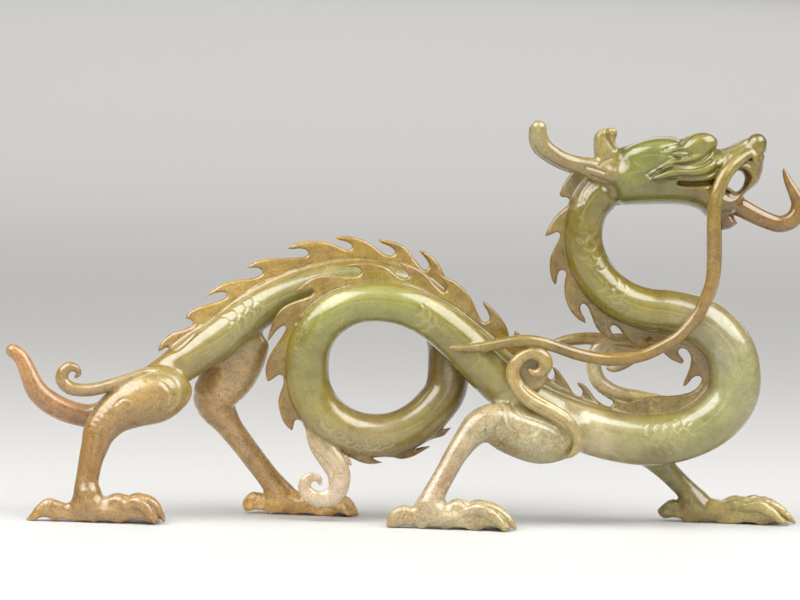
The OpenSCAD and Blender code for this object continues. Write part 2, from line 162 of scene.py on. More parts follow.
def put_chain(f, s, k=0.0):
    """Adds a limb swept through the samples to field f."""
    if k > 0:
        lo, hi = chain_extent(s)
        sl = f.sub(lo, hi)
        if sl is None:
            return
        part = Field.__new__(Field)
        part.i0 = f.i0 + np.array([q.start for q in sl])
        part.n = np.array([q.stop - q.start for q in sl])
        part.a = np.full(part.n, BIG, np.float32)
        put_chain(part, s, 0.0)
        f.a[sl] = smin(f.a[sl], part.a, k)
        return
    for i in range(len(s) - 1):
        a, b = s[i], s[i + 1]
        lo = np.minimum(a[:3] - a[3] * max(1, a[4]), b[:3] - b[3] * max(1, b[4]))
        hi = np.maximum(a[:3] + a[3] * max(1, a[4]), b[:3] + b[3] * max(1, b[4]))
        sl = f.sub(lo, hi)
        if sl is None:
            continue
        x, y, z = f.axes(sl)
        ba = (b[:3] - a[:3]).astype(np.float32)
        l2 = float(ba @ ba) + 1e-9
        px, py, pz = x - np.float32(a[0]), y - np.float32(a[1]), z - np.float32(a[2])
        h = np.clip((px * ba[0] + py * ba[1] + pz * ba[2]) * np.float32(1 / l2), 0, 1)
        qx, qy, qz = px - h * ba[0], py - h * ba[1], pz - h * ba[2]
        r = np.float32(a[3]) + np.float32(b[3] - a[3]) * h
        w = 0.5 * (a[4] + b[4])
        if abs(w - 1) < 0.02:
            d = np.sqrt(qx * qx + qy * qy + qz * qz) - r
        else:
            xz = qx * qx + qz * qz
            y1 = qy * np.float32(1 / w)
            y2 = y1 * np.float32(1 / w)
            k0 = np.sqrt(xz + y1 * y1) + np.float32(1e-5)
            k1 = np.sqrt(xz + y2 * y2) + np.float32(1e-5)
            d = k0 * (k0 - r) / k1
        np.minimum(f.a[sl], d, out=f.a[sl])


def poly_mm(pts, y=0.0):
    return np.array([(PX(u, v), PZ(u, v, y)) for u, v in pts])


def poly_distance(px, pz, poly, closed=True):
    """Distance in the side plane to a polygon (signed, negative inside) or to an open line (unsigned)."""
    d = np.full(px.shape, 1e9, np.float32)
    inside = np.zeros(px.shape, bool)
    n = len(poly)
    for i in range(n if closed else n - 1):
        ax, az = poly[i]
        bx, bz = poly[(i + 1) % n]
        ex, ez = bx - ax, bz - az
        l2 = ex * ex + ez * ez
        if l2 < 1e-12:
            continue
        wx, wz = px - np.float32(ax), pz - np.float32(az)
        t = np.clip((wx * np.float32(ex) + wz * np.float32(ez)) * np.float32(1 / l2), 0, 1)
        dx, dz = wx - t * np.float32(ex), wz - t * np.float32(ez)
        np.minimum(d, dx * dx + dz * dz, out=d)
        if closed:
            c = ((az <= pz) & (bz > pz)) | ((bz <= pz) & (az > pz))
            if c.any():
                xx = ax + (pz - az) * (ex / ez if abs(ez) > 1e-12 else 0)
                inside ^= c & (px < xx)
    d = np.sqrt(d)
    return np.where(inside, -d, d) if closed else d


def put_puff(f, pts, y0, width, rim, k=0.0, holes=(), smooth=3, flip=0.0):
    """A plump slab: its side outline is exactly pts, half as deep as width, rounded over rim from the outline inward.
    width and rim are numbers in mm, or functions of the sheet's u. flip turns it about a vertical axis through flip=(x, y, angle)."""
    poly = poly_mm(sheet_line(pts, smooth, True) if smooth > 1 else pts, y0)
    lo = np.array([poly[:, 0].min(), y0 - 12, poly[:, 1].min()])
    hi = np.array([poly[:, 0].max(), y0 + 12, poly[:, 1].max()])
    if flip:
        cx, cy, ang = flip
        reach = max(abs(lo[0] - cx), abs(hi[0] - cx))
        lo = np.array([cx - reach, min(lo[1], cy - reach * abs(math.sin(ang)) - 6), lo[2]])
        hi = np.array([cx + reach, max(hi[1], cy + reach * abs(math.sin(ang)) + 6), hi[2]])
    else:
        wmax = width if not callable(width) else max(width(u) for u in range(0, 801, 8))
        lo[1], hi[1] = y0 - wmax, y0 + wmax
    sl = f.sub(lo, hi)
    if sl is None:
        return
    x, y, z = f.axes(sl)
    if flip:
        c, s = np.float32(math.cos(-ang)), np.float32(math.sin(-ang))
        xr = cx + (x - cx) * c - (y - cy) * s
        yr = cy + (x - cx) * s + (y - cy) * c
        # the outline is worked out once on a side-view grid, then looked up
        gx = np.arange(poly[:, 0].min() - 4, poly[:, 0].max() + 4, H).astype(np.float32)
        gz = z[0, 0, :]
        d2g = poly_distance(gx[:, None] + 0 * gz[None, :], gz[None, :] + 0 * gx[:, None], poly)
        t = np.clip((xr[:, :, 0] - gx[0]) / H, 0, len(gx) - 1.001)
        j = t.astype(int)
        w = (t - j)[..., None].astype(np.float32)
        d2 = d2g[j] * (1 - w) + d2g[j + 1] * w
        over = np.maximum(np.maximum(gx[0] - xr[:, :, 0], xr[:, :, 0] - gx[-1]), 0)[..., None]
        d2 = d2 + over.astype(np.float32)
        yy = yr - np.float32(y0)
        u = None
    else:
        X2, Z2 = x[:, 0, :] + 0 * z[:, 0, :], z[:, 0, :] + 0 * x[:, 0, :]
        d2 = poly_distance(X2, Z2, poly)
        for hole in holes:
            hp = poly_mm(sheet_line(hole, 3, True), y0)
            d2 = smax(d2, -poly_distance(X2, Z2, hp), 0.8)
        d2 = d2[:, None, :]
        yy = y - np.float32(y0)
    W, R = width, rim
    if callable(width) or callable(rim):
        uu = (x / STEP) * CT + 400
        W = np.interp(uu, np.arange(0, 801, 4), [width(q) for q in range(0, 801, 4)]).astype(np.float32) if callable(width) else width
        R = np.interp(uu, np.arange(0, 801, 4), [rim(q) for q in range(0, 801, 4)]).astype(np.float32) if callable(rim) else rim
    a = np.maximum(1 + d2 / R, 0)
    b = yy / W
    k0 = np.sqrt(a * a + b * b) + np.float32(1e-5)
    k1 = np.sqrt((a / R) ** 2 + (b / W) ** 2) + np.float32(1e-5)
    d = (k0 * (k0 - 1) / k1).astype(np.float32)
    np.minimum(d, BIG, out=d)
    f.a[sl] = smin(f.a[sl], d, k)


def put_ball(f, c, r, k=0.0, turn=0.0):
    """An ellipsoid at c with half sizes r, turned in the side plane."""
    m = max(r)
    sl = f.sub(np.asarray(c) - m, np.asarray(c) + m)
    if sl is None:
        return
    x, y, z = f.axes(sl)
    x, y, z = x - np.float32(c[0]), y - np.float32(c[1]), z - np.float32(c[2])
    if turn:
        cs, sn = np.float32(math.cos(turn)), np.float32(math.sin(turn))
        x, z = x * cs + z * sn, z * cs - x * sn
    k0 = np.sqrt((x / r[0]) ** 2 + (y / r[1]) ** 2 + (z / r[2]) ** 2) + np.float32(1e-5)
    k1 = np.sqrt((x / r[0] ** 2) ** 2 + (y / r[1] ** 2) ** 2 + (z / r[2] ** 2) ** 2) + np.float32(1e-5)
    f.a[sl] = smin(f.a[sl], (k0 * (k0 - 1) / k1).astype(np.float32), k)


# ---------------------------------------------------------------- the dragon's lines
SPINE = [
    (600,192,21,0), (590,205,20,0), (584,222,19.5,0), (583,242,19.5,0), (588,262,20,0), (598,279,20.5,0),
    (612,293,21,0), (630,304,21.5,0), (650,310,22,0), (668,312,22.5,0), (688,317,23.5,0), (706,324,24.5,0),
    (721,338,25,0), (731,354,25.5,0), (735,374,26,0), (733,394,26.4,0), (722.2,411.2,26.6,0), (705.2,425.2,26.5,0),
    (680,436,26,0), (649,440,26,0), (620,437,26,0), (590,429,26,0), (560,416,26,0), (535,403,26,-1),
    (512,388,26,-2), (492,371,25,-4), (475,354,24,-6), (458,338,23,-7), (440,323,22,-8), (420,311,21.5,-8.5),
    (400,304,21,-9), (378,301.5,20.5,-9), (356,303.5,20.5,-9), (336,312,21,-8.5), (320,326,21.5,-7.5),
    (310,345,22,-6.5), (307,366,22,-5.5), (309,388,22,-4.5), (318,407,22,-3.5), (334,423,22,-2.5),
    (355,433,22,-1), (378,436,22,0), (399,432.1,21.6,1), (418.4,422.2,21.6,2.5), (434.2,407.4,21.2,4), (446,390,21,5),
    (449,365,21,6), (448,342,21,7), (440,319,21,7.8), (425,300,21,8), (405,287,20.5,8), (382,280,20,8),
    (355,279,19.5,8), (328,282,19,7), (302,289,19,6), (278,299,19.5,5), (255,312,20,4), (234,327,20.5,2.5),
    (215,341,20.5,1), (195,354,20,0), (175,368,19,0), (150,385,18,0), (125,400,15,0)]
NAPE, THROAT, ELBOW, OVER, RISE, RUMP = 0, 10, 23, 39, 48, 62
SUB = 4
BODY = line3(SPINE, SUB)

ANTLER = [(611,174,10,-6.2), (603,172.5,12.2,-6.4), (592,169,10.8,-6.8), (577,165.5,9,-7.5), (562,160.5,8.3,-8.5),
    (550,153.5,8.5,-9.5), (541,145.5,9,-10.2), (537.5,136,8.6,-10.8), (537.5,129,8,-11)]
BEARD = [(730,200,8,0), (737,205.3,9.4,0), (746,210.5,9.3,0), (757,216.3,8.9,0), (768,221,8.6,0), (779,224,8.5,0), (790,221,8.6,0),
    (797,213,8.5,0), (798,203,7.5,0), (794,193,6.3,0), (789,184,4.8,0), (785.5,176,3.4,0), (783.5,170,1.9,0)]
WHISKER = [(750,153,4,-6.4), (744,156,5,-7.2), (736,161.5,6,-8.4), (729,168,6.6,-9.4), (722,177,7,-10.4), (717,188,7,-11), (713,202,7,-11.2),
    (711.6,222,7,-11), (711.6,242,7,-10.6), (711.6,262,6.8,-10.4), (709.8,282,6.5,-10.2), (705,297,6.5,-10), (698.2,312,6.5,-9.8),
    (688.5,325,6.3,-9.6), (677,337,6.2,-9.5), (662,346,6.3,-9.5), (645,354,6.3,-9.6), (628,358,6.5,-9.8),
    (610,359.5,6.5,-10), (592,357.5,6.3,-10.6), (575,353.5,6.3,-11.4), (560,348.5,6,-12.4), (545,343.5,6,-13.2),
    (530,340.5,6,-13.8), (515,341,6,-14), (500,343.5,5.8,-14), (480,347,5,-14.2), (462,348.5,3.6,-14.4), (450,347.5,1.8,-14.6)]
FORELEG = [(562,434,25,-6), (540,436,28,-7), (515,430,25.7,-8.5), (495,423.5,20.8,-10), (480,426,17,-11.5), (468,437,13.2,-13),
    (455,455,11,-14.5), (445,473,10.5,-16), (436,489,11,-17.4), (430,502,12.5,-18)]
FORELEG_FAR = [(606,430,20,7), (622,432,24,8.5), (640,440,24,10.5), (652.4,453,16.8,12.5), (664.2,467,12,14.5),
    (677,480,10.6,16.4), (690,493,10.8,17.6), (698,502,12.5,18)]
HINDLEG = [(178,391,14.5,-6), (168,392.5,22.5,-7), (155,395.8,27.5,-8.5), (136,401.6,25.7,-10), (116,413.4,20.4,-11.8), (102,430,16.6,-13.4),
    (97,445,13.8,-14.8), (93.5,457,12.4,-15.8), (91,470,11.6,-16.8), (89,483,11.8,-17.6), (89.5,493,14,-18), (90,500,15,-18)]
HINDLEG_FAR = [(256,347,12.5,3.6), (245,357,20.5,6.4), (230,374,26,9.5), (213,399,21.2,12), (225.3,424,13.7,14), (239.3,443,11.8,15.4),
    (253.4,462,11.3,16.6), (267,480,11.4,17.5), (278,494,13,18)]
SHOULDER_SCROLL = [(529,370,2.4,-13.5), (534,373,4,-13.6), (541,371,5.8,-13.6), (545,364,7,-13.6), (541,356,7.4,-13.6),
    (532,353,6.8,-13.6), (522,356,6.5,-13.5), (515,363,7,-13.4), (512,372,7,-13.2), (515,383,7.5,-13), (522,392,8.4,-12.8),
    (533,401,8.8,-12.9), (546,408.5,8.4,-13.3), (559,416,7.8,-13.4), (570,426,7,-13), (576,438,5.4,-12.4), (575.5,448,4.4,-12), (570,455,3.2,-11.6)]
SHOULDER_SCROLL_FAR = [(610,368.5,2.6,12.6), (616,369,4.2,12.6), (625,365,5.4,12.6), (634,358,6.3,12.6), (638.5,350,6.8,12.6),
    (634,343,7.2,12.6), (622,340.5,7.2,12.6), (609,342.5,7.2,12.4), (599.5,349,7.2,12.4), (595.5,359,7.3,12.3), (595.5,370,7.5,12.2),
    (599.5,381,8,12), (608.5,389.5,8,11.6), (622,395,7.5,11), (640,398.5,7.5,10.4), (660,402,7,9.6), (680,405,6.5,8.8), (698,409,5,8)]
WHISKER_FAR = [(750,153,4,6.4), (744,156,5,7.2), (736,161.5,6,8.4), (729,168,6.6,9.4), (722,177,7,10.4), (720,188,6.6,11), (718,202,6.6,11.2),
    (717,222,6.6,11), (717,242,6.6,10.6), (717,262,6.4,10.4), (715,282,6.2,10.2), (710,297,6.2,10), (703,309.5,6.2,9.8), (692.5,320.5,6.2,9.6),
    (679.5,330.5,6.2,9.5), (662,338,6.3,9.6), (645,341.5,6.3,10.2), (628,341.5,6.4,11.4), (610,340,6.5,12.4), (592,338.8,6.5,12.6),
    (577,339.6,6.2,12.4), (563,342,5.4,12.2), (551,346,4,12), (542,350,2,11.8)]
HIP_SCROLL = [(78,376.5,1.8,-14), (81,373,2.6,-14), (78,368,4,-14), (71.5,366.5,5.3,-14), (65.5,371.5,6,-14), (64.5,380,6.6,-14),
    (71,387,6.8,-14), (81,389.5,6.8,-14), (93,389.2,6.6,-14), (106,386.6,6.3,-13.8), (120,382.2,6,-13.2), (134,377.2,5.6,-12),
    (147,372.5,5,-10.6), (160,371,3.6,-9)]
BELLY_SCROLL = [(320,484,2,-5), (318,478.5,3.8,-5), (311,477.5,5,-5), (305,483,6.2,-5), (306,491.5,7,-5), (313,498,8,-5),
    (323,499.5,8.5,-5), (333,496,9.5,-5), (338.5,487,10.5,-5), (339,475,11.5,-5), (334,463.5,12.3,-4.8), (326,452,12.5,-4.4),
    (318,442,10,-4), (309,428,4,-4)]
TAIL = [(125,400,15,0), (110,410.6,13,0), (92,416.2,12,0), (77,414.4,11.6,0), (62,409.4,11.8,0), (47.4,401.2,11.6,0), (36.4,390.8,10.8,0),
    (30,378,9.5,0), (25,366,8.4,0), (20,357,7.8,0), (13,351,7.4,0)]
SKULL_OUT = [(606,186), (600,176), (604,164), (612,154), (618,148), (626,145), (640,140.5), (650,137), (660,135.5), (670,135.5),
    (676,137), (680,138.8), (685,136.5), (691,134), (699,132.5), (706,132.8), (711,136), (713.5,142), (715.5,147), (720,148.3),
    (730,145), (740,140), (750,135.5), (757,134), (762,137), (764.5,143), (764,149), (763,153), (763,158), (762.5,166),
    (760.5,175), (757,183), (750,189), (743,195), (741,203), (736,211), (728,213), (716,216),
    (706,217), (700,211), (688,206), (670,204.5), (652,204.5), (632,205), (620,205), (612,197)]
MOUTH = [(724,184), (725,178), (729,173.5), (735,171), (740,172), (743.5,176), (743.5,182), (741,187), (736.5,191), (732,190), (728,187)]


def mirrored(rows):
    return [(q[0], q[1], q[2], -q[3], *q[4:]) for q in rows]


# the crest's outer edge, traced fin by fin: out along the back of each fin to its tip (the point given twice), then round
# the notch under the tip and on to the next fin
NECK_EDGE = [(584,172),(576,171),(570,174),(565,181),(561,189),(559,195),(559,195),(562,197.3),(566.5,197.6),(569.2,200.8),(567.3,205),
    (561,210.4),(555,216.4),(550.6,223),(547,230),(545,236),(545,236),(547.7,236),(552.3,233.9),(556.6,232.1),(559.2,233.4),(559.6,236.5),
    (558,240.7),(553.7,249.3),(550.6,256.4),(549.4,265),(550.1,273.6),(552,280.7),(554.8,284.6),(554.8,284.6),(556.4,283.5),(557.1,279.3),
    (557.7,275),(559.4,271.4),(562,270),(564.9,271.4),(565.9,274.5),(564.9,279.3),(564.1,288),(565.1,298),(568,306.4),(572.3,313.6),
    (578,319.3),(585.5,323.6),(585.5,323.6),(585.1,318.6),(582,313.6),(580.6,309.3),(580.6,305.7),(583,303.9),(585.9,304.7),(588.7,308),(591,314)]
BREAST_EDGE = [(585.9,304.7),(588.7,308),(591.6,316.4),(594.4,323.6),(598,330),(605.1,336.4),(613.7,341),(619.5,342.6),(619.5,342.6),
    (616.6,338.6),(613,333.6),(610.6,329.3),(610.9,326.4),(613.7,325.3),(617.3,327.1),(620.9,331.4),(625.1,336.4),(629.4,342.1),
    (633.7,347.1),(639,350.5),(647,353.5),(656,354.5),(656,354.5),(652,348),(648,342),(646.3,338.3),(648,336.4),(651,337),(654,341),
    (658,347),(663,352.5),(670,358.9),(675.6,361.7),(682,364.3),(682,364.3),(684.2,361.1),(681.7,357.2),(679.4,354.4),(678.4,351.7),
    (680.2,349.2),(683.3,348.6),(687.2,350.6),(690,355),(691.1,359),(690.6,364),(689.4,369.4),(686.7,376),(683.9,382.8),(683.4,387.3),
    (683.4,387.3),(687.8,384.4),(691.7,379.4),(695,377),(698.9,376.3),(701.7,378.6),(701.1,382.2),(698.3,386.7),(694,390.5),(687,393.4),
    (678,395.2),(668,396),(656,396.2),(645,397),(634,400.2),(630,401.8),(620,399.4),(611,396.4),(602.8,393),(602.8,393),(607,398),(612,400.8),(613.2,403.4),
    (611,406.4),(608.5,407),(604.4,405.4),(599,401.7),(594.4,397.2),(590.6,391.7),(586.7,387.2),(582,383.6),(577,382.2),(577,382.2),
    (578.2,385.8),(581.7,389.6),(582.6,393),(581.2,396.6),(578,397.6),(573.6,394),(570.6,388.3),(567.2,382.8),(563.3,377.2),(559,371.2),
    (555,367.8),(551.6,366),(551.6,366),(553.6,371),(554.6,376),(552,379.6),(548.6,378),(545,373),(540,376)]
FORE_EDGE = [(530,352),(526,343),(521,335),(514.5,329.3),(514.5,329.3),(514,333),(513,337),(510.6,338.6),(509,335.5),(508,331),(505,324.2),
    (500,316.7),(493.3,309.2),(487,303.4),(481.3,300.4),(481.3,300.4),(484.2,306.7),(487.5,312.5),(489.2,317.5),(487.5,321.3),
    (484.2,321.9),(480.8,319.2),(476.7,311.7),(473.3,303.3),(468.3,294.2),(461.7,286.7),(454.2,280.8),(446,277.4),(436,273),(436,273),
    (441,278.5),(445,284),(446.8,289),(444.5,291.6),(441.2,290),(435,284),(428,276),(420,270),(410,265),(398,261.6),(398,261.6),
    (403,268),(407.4,273.6),(408,276.8),(404.5,277.8),(398,275.4),(390,269.4),(381.7,265.2),(373,263.2),(363,262.4),(353,263.6),
    (343,267),(343,267),(349,266.9),(356.7,267.2),(360.8,270),(360,274.2),(354,275.8),(343,275.8),(331.7,274.2),(321.7,275),
    (311.7,278.3),(305,282.5),(299,288.3),(295.5,292),(295.5,292),(302,291.8),(309,290.4),(313.8,290.6),(311.8,294.4),(304,298),
    (291.7,302.5),(284,306.7),(278.3,312.5),(274.2,320),(270.8,328.3),(268.3,336.7),(267.8,342),(267.8,342),(270,340),(272.5,336.7),
    (276.7,330.8),(282.5,326.3),(285.3,325.7),(286.4,328.3),(285,331.7),(280,340),(274.2,348.3),(269.2,356.7),(266.3,365),(265.8,373.3),
    (267.4,381.4),(267.4,381.4),(270.6,380.8),(275,377.5),(279.2,375),(282.5,375.8),(283.7,379.2),(283.3,385),(280.3,393.3),(278.3,401.7),
    (279.7,411.7),(282.5,420),(286.7,426.7),(292.4,431.4),(292.4,431.4),(293.8,425.8),(294.8,421.7),(297.5,420),(301.7,421.7),(305,428),(312,440)]
UNDER_EDGE = [(338,450),(346,456.5),(353.3,459.6),(360,462.7),(370,464.9),(383.3,463.2),(383.3,463.2),(376.7,461),(372.5,458),(380,457),(391.7,458),
    (401.7,459.9),(411.7,457.8),(421.7,452.7),(431.7,446.5),(431.7,446.5),(423.3,447.3),(415,449.4),(413.5,446),(424,442.6),(433.3,439.6),
    (443.3,436.7),(448.3,432),(451.9,427.6),(451.9,427.6),(445,429.5),(440.5,429.5),(441,424)]
BACK_EDGE = [(447,300),(447,288),(445.5,278),(442.5,270),(438,262),(431,255),(424.6,251),(418,250),(418,250),(421.4,253.4),(425,257.6),(428,262),(429,266.2),
    (426.6,269.2),(423,268.6),(420,265),(414,257.6),(408,249.6),(401,244.2),(392,240.8),(384,239),(377.6,238.6),(377.6,238.6),(380.6,242.2),
    (386,244.6),(391.4,247.4),(394.6,250.6),(394,254),(390,255.2),(385,253.6),(378,249),(370,243),(362,239),(352,236.4),(342,235.4),
    (334,236),(334,236),(337.6,239.2),(343,240.8),(347.6,242.2),(351.2,244.6),(351.4,247.6),(348.6,249.2),(344,248.4),(338,245.6),
    (330,242.6),(320,240.8),(308,240.8),(298,242.4),(291,245.2),(287,248.8),(287,248.8),(294,249),(300,248.4),(305,249.6),(308,252.4),
    (306,255.8),(300,257),(286,257.6),(270,258),(258,260.4),(250,264),(245.6,268.4),(245.6,268.4),(252,267.8),(258,268),(261.8,270.8),
    (261,274.2),(257,276.2),(250,278.2),(238,279.6),(228,281.6),(218,286),(210,292.2),(203.4,298.8),(203.4,298.8),(210,295.4),(217,292.8),
    (222,292),(225.8,293.2),(226.4,296),(224,298.2),(219,300.4),(210,303.4),(200,306.4),(193,309.4),(188,313),(185.2,318.8),(185.2,318.8),
    (190,319.8),(193,323),(191,326.2),(187,327.6),(183,329.6),(174,332),(166,337),(160,344),(157.4,351.6),(157.4,351.6),(161,350.6),
    (164.5,348.2),(168,347.6),(169.4,350),(166.5,353.4),(161,358.5)]


def put_crest(f, edge, a, b, thick=1.0):
    """A thin web from the body's centre line (spine entries a to b) out to the traced edge."""
    e = catmull(edge, 3)
    keep = [0] + [i for i in range(1, len(e)) if np.linalg.norm(e[i] - e[i - 1]) > 0.05]
    e = e[keep]
    sp = BODY[SUB * a : SUB * b + 1 : 2]
    outline = np.array([(PX(u, v), PZ(u, v, 0)) for u, v in e])
    # the edge's own depth shifts its height a little, so each point takes the depth of the body beside it
    near = np.argmin(((outline[:, None, :] - sp[None, :, [0, 2]]) ** 2).sum(2), 1)
    outline[:, 1] -= SINK * sp[near, 1]
    ends = sp[:, [0, 2]]
    if np.linalg.norm(ends[0] - outline[-1]) < np.linalg.norm(ends[-1] - outline[-1]):
        poly = np.vstack([outline, ends])
    else:
        poly = np.vstack([outline, ends[::-1]])
    lo = np.array([poly[:, 0].min(), sp[:, 1].min() - 3, poly[:, 1].min()])
    hi = np.array([poly[:, 0].max(), sp[:, 1].max() + 3, poly[:, 1].max()])
    sl = f.sub(lo, hi)
    x, y, z = f.axes(sl)
    X2, Z2 = x[:, 0, :] + 0 * z[:, 0, :], z[:, 0, :] + 0 * x[:, 0, :]
    d2 = poly_distance(X2, Z2, poly)
    wsum = np.zeros_like(X2)
    yc = np.zeros_like(X2)
    away = np.full_like(X2, 1e9)
    for s in sp:
        q = (X2 - np.float32(s[0])) ** 2 + (Z2 - np.float32(s[2])) ** 2
        np.minimum(away, np.sqrt(q) - np.float32(s[3]), out=away)
        w = 1 / (q + 9) ** 3
        wsum += w
        yc += w * np.float32(s[1])
    yc /= wsum
    # thin at the edge, a little thicker where it leaves the body
    th = (thick * (1.0 + 0.55 * np.clip(1 - away / 3.2, 0, 1))).astype(np.float32)[:, None, :]
    R = np.float32(0.95)
    a_ = np.maximum(1 + d2 / R, 0)[:, None, :]
    b_ = (y - yc[:, None, :]) / th
    k0 = np.sqrt(a_ * a_ + b_ * b_) + np.float32(1e-5)
    k1 = np.sqrt((a_ / R) ** 2 + (b_ / th) ** 2) + np.float32(1e-5)
    d = (k0 * (k0 - 1) / k1).astype(np.float32)
    f.a[sl] = np.minimum(f.a[sl], np.minimum(d, BIG))


# ---------------------------------------------------------------- feet
FOOT_HR = dict(ankle=(90, 498), side=-1, y=-18.0,
    front=[(79,492),(103,493),(111,496.5),(118,494.5),(124,493),(130,494),(135,496.5),(141,493.5),(148,493.5),(154,495.5),
        (160,501),(165,507),(167,513),(165,518),(155,520),(143,518),(133,519),(121,523.5),(103,524),(79,524)],
    heel=[(103,492),(77,494),(69,502),(65,501),(59,498),(53,496.5),(47,498),(40,503),(34,511),(30,519),(37,520.5),(45,518),(58,523),(103,524)])
FOOT_FR = dict(ankle=(432, 504), side=-1, y=-18.0,
    front=[(418,496),(440,498),(448,503),(453,502),(458,499),(463,499),(469,502),(475,503),(483,500),(491,501),
        (500,504),(508,510),(513,516),(515,524),(508,529),(499,526.5),(490,526),(478,530.5),(450,531.5),(418,531)],
    heel=[(444,496),(420,496),(409,505),(403,504),(398,505),(392,508),(388,513),(386.5,520),(394,522),(404,527),(418,531),(444,531)])
FOOT_HL = dict(ankle=(280, 494), side=1, y=18.0,
    front=[(266,486),(288,488),(298,496),(310,498),(320,495.5),(330,497),(344,496),(350,500),(355,505),(358,512),
        (357,518),(350,516.5),(340,516),(328,520.5),(300,521),(266,520.5)],
    heel=[(290,486),(268,486),(262,498),(256,494.5),(250,494.5),(244,498),(241.5,506),(250,511.5),(262,518),(275,520.5),(290,521)])
FOOT_FL = dict(ankle=(699.5, 502), side=1, y=18.0,
    front=[(685,497.5),(709,496),(719,503.5),(731,505),(740,502),(747,500),(758,501),(771,500),(778,503),(785,507.5),
        (792,512.5),(797,517),(799.5,525),(790,523.5),(781,524),(769,528),(743,530),(685,530)],
    heel=[(709,496),(687,496),(684,504),(679,502.5),(673,503.5),(667,506),(662.5,512),(669,517),(679,525),(693,530),(709,530)])


TOES = {
    "HR": [(101,506,8.5), (114,502,6.6), (125,499.6,6.5), (135,503,6), (146,500,6.5), (154,503,6.1), (160,508.5,4.7), (164,514,3), (166.5,518.5,1.6)],
    "FR": [(438,511,8.5), (450,509.4,6.2), (461,504.4,6.2), (471,509.2,6), (484,506.6,6.6), (494,509.2,6.3), (503,514.4,5.4), (510,520.4,3.8), (514.5,526,2)],
    "HL": [(290,503,8.5), (302,502.6,6.2), (314,501.6,6.2), (324,504,6), (336,502.2,6.4), (345,505,5.9), (351,509.6,4.5), (355,514,3), (357.5,517.5,1.6)],
    "FL": [(719,510,7.5), (731,510.3,6), (745,505.9,6.4), (757,507.9,6), (769,506.3,6.5), (778,509.3,6), (787,514,4.8), (794,520,3.3), (799,524.5,1.7)],
}
HEELS = {
    "HR": [(83,508,9), (69,508.6,6.6), (59,505.6,6.4), (51,503.9,6.8), (43,508.6,5.4), (36,514.4,3.3), (30.5,519,1.5)],
    "FR": [(425,512,8.5), (412,512,6.2), (403,510.6,6.5), (395.5,512.6,5), (389,517,2.4)],
    "HL": [(272,504,8.5), (262,504,6.6), (253,501,6.8), (246.4,503.6,4.5), (242.6,507,2.2)],
    "FL": [(697,511,8.5), (686,510.4,6.2), (677,508.4,6.6), (669.6,510.8,4.8), (663,513.8,2.4)],
}


def put_foot(f, foot):
    au, av = foot["ankle"]
    key, y0 = foot["key"], foot["y"]
    cx = PX(au, av)
    floor_v = max(q[1] for q in foot["front"])

    def lowered(pts):
        return [(u, v + 5.5 if v < floor_v - 9 else v) for u, v in pts]

    for ang in (0, 13, -13):
        pts = [(u - (3 if u > au + 20 else 0), v + (0.0 if ang == 0 else 0.8)) for u, v in lowered(foot["front"])]
        put_puff(f, pts, y0, 2.6, 3.0, 1.4, flip=(cx, y0, math.radians(ang)) if ang else 0.0)
    put_puff(f, lowered(foot["heel"]), y0, 2.5, 3.0, 1.4)
    for ang, length in ((-20, 0.93), (-6.8, 1.0), (6.8, 0.99), (20, 0.92)):
        a = math.radians(ang)
        rows = []
        for u, v, r in TOES[key]:
            x, z = PX(u, v), PZ(u, v, y0)
            d = (x - cx) * length
            rr = r * STEP
            rows.append((cx + d * math.cos(a), y0 + d * math.sin(a), max(z, rr * 0.8), rr, 0.78))
        put_chain(f, catmull(rows, 4), 0.35)
    rows = []
    for u, v, r in HEELS[key]:
        rows.append((PX(u, v), y0, max(PZ(u, v, y0), r * STEP * 0.8), r * STEP, 0.95))
    put_chain(f, catmull(rows, 4), 1.2)
    # the ankle spreads into the toes
    put_ball(f, P(au + 3, av + 9, y0), (5.4, 4.8, 4.4), 2.4)
    put_ball(f, P(au + 20, av + 12, y0), (6.0, 5.6, 3.0), 2.2)
    # arches between heel, ball and claws
    for u, wide, high in foot["arches"]:
        hole = Field.__new__(Field)
        hole.i0, hole.n = f.i0, f.n
        hole.a = np.full(f.n, BIG, np.float32)
        put_ball(hole, (PX(u, floor_v), y0, 0.0), (wide, 16, high))
        f.a = smax(f.a, -hole.a, 0.8)


FOOT_HR.update(key="HR", arches=[(141, 3.2, 1.7), (109, 3.0, 0.7), (87, 2.6, 0.5), (67, 2.6, 0.8), (47, 2.6, 1.3)])
FOOT_FR.update(key="FR", arches=[(491, 3.2, 1.6), (458, 3.4, 0.9), (433, 3.0, 0.9), (408, 3.0, 0.8)])
FOOT_HL.update(key="HL", arches=[(341, 2.6, 1.3), (306, 3.2, 0.8), (280, 3.0, 0.6), (256, 3.4, 1.4)])
FOOT_FL.update(key="FL", arches=[(782, 3.0, 1.2), (751, 3.2, 0.8), (711, 3.4, 0.9), (677, 3.2, 1.4)])


# ---------------------------------------------------------------- nodes
NODES = {}
ORDER = []


def node(name, slot, build, lo, hi, k):
    """k is the radius with which the feature blends into what is already there."""
    NODES[name] = dict(slot=slot, build=build, lo=np.array(lo, float), hi=np.array(hi, float), k=k)
    ORDER.append(name)


def chain_node(name, slot, samples, k, extra=None):
    lo, hi = chain_extent(samples)

    def build(f):
        put_chain(f, samples)
        if extra:
            extra(f)

    node(name, slot, build, lo, hi, k)


def sheet_box(u0, u1, v0, v1, y0, y1):
    xs = [PX(u, v) for u in (u0, u1) for v in (v0, v1)]
    zs = [PZ(u, v, y) for u in (u0, u1) for v in (v0, v1) for y in (y0, y1)]
    return (min(xs), y0, min(zs)), (max(xs), y1, max(zs))


def body(a, b):
    return BODY[SUB * a : SUB * b + 1]


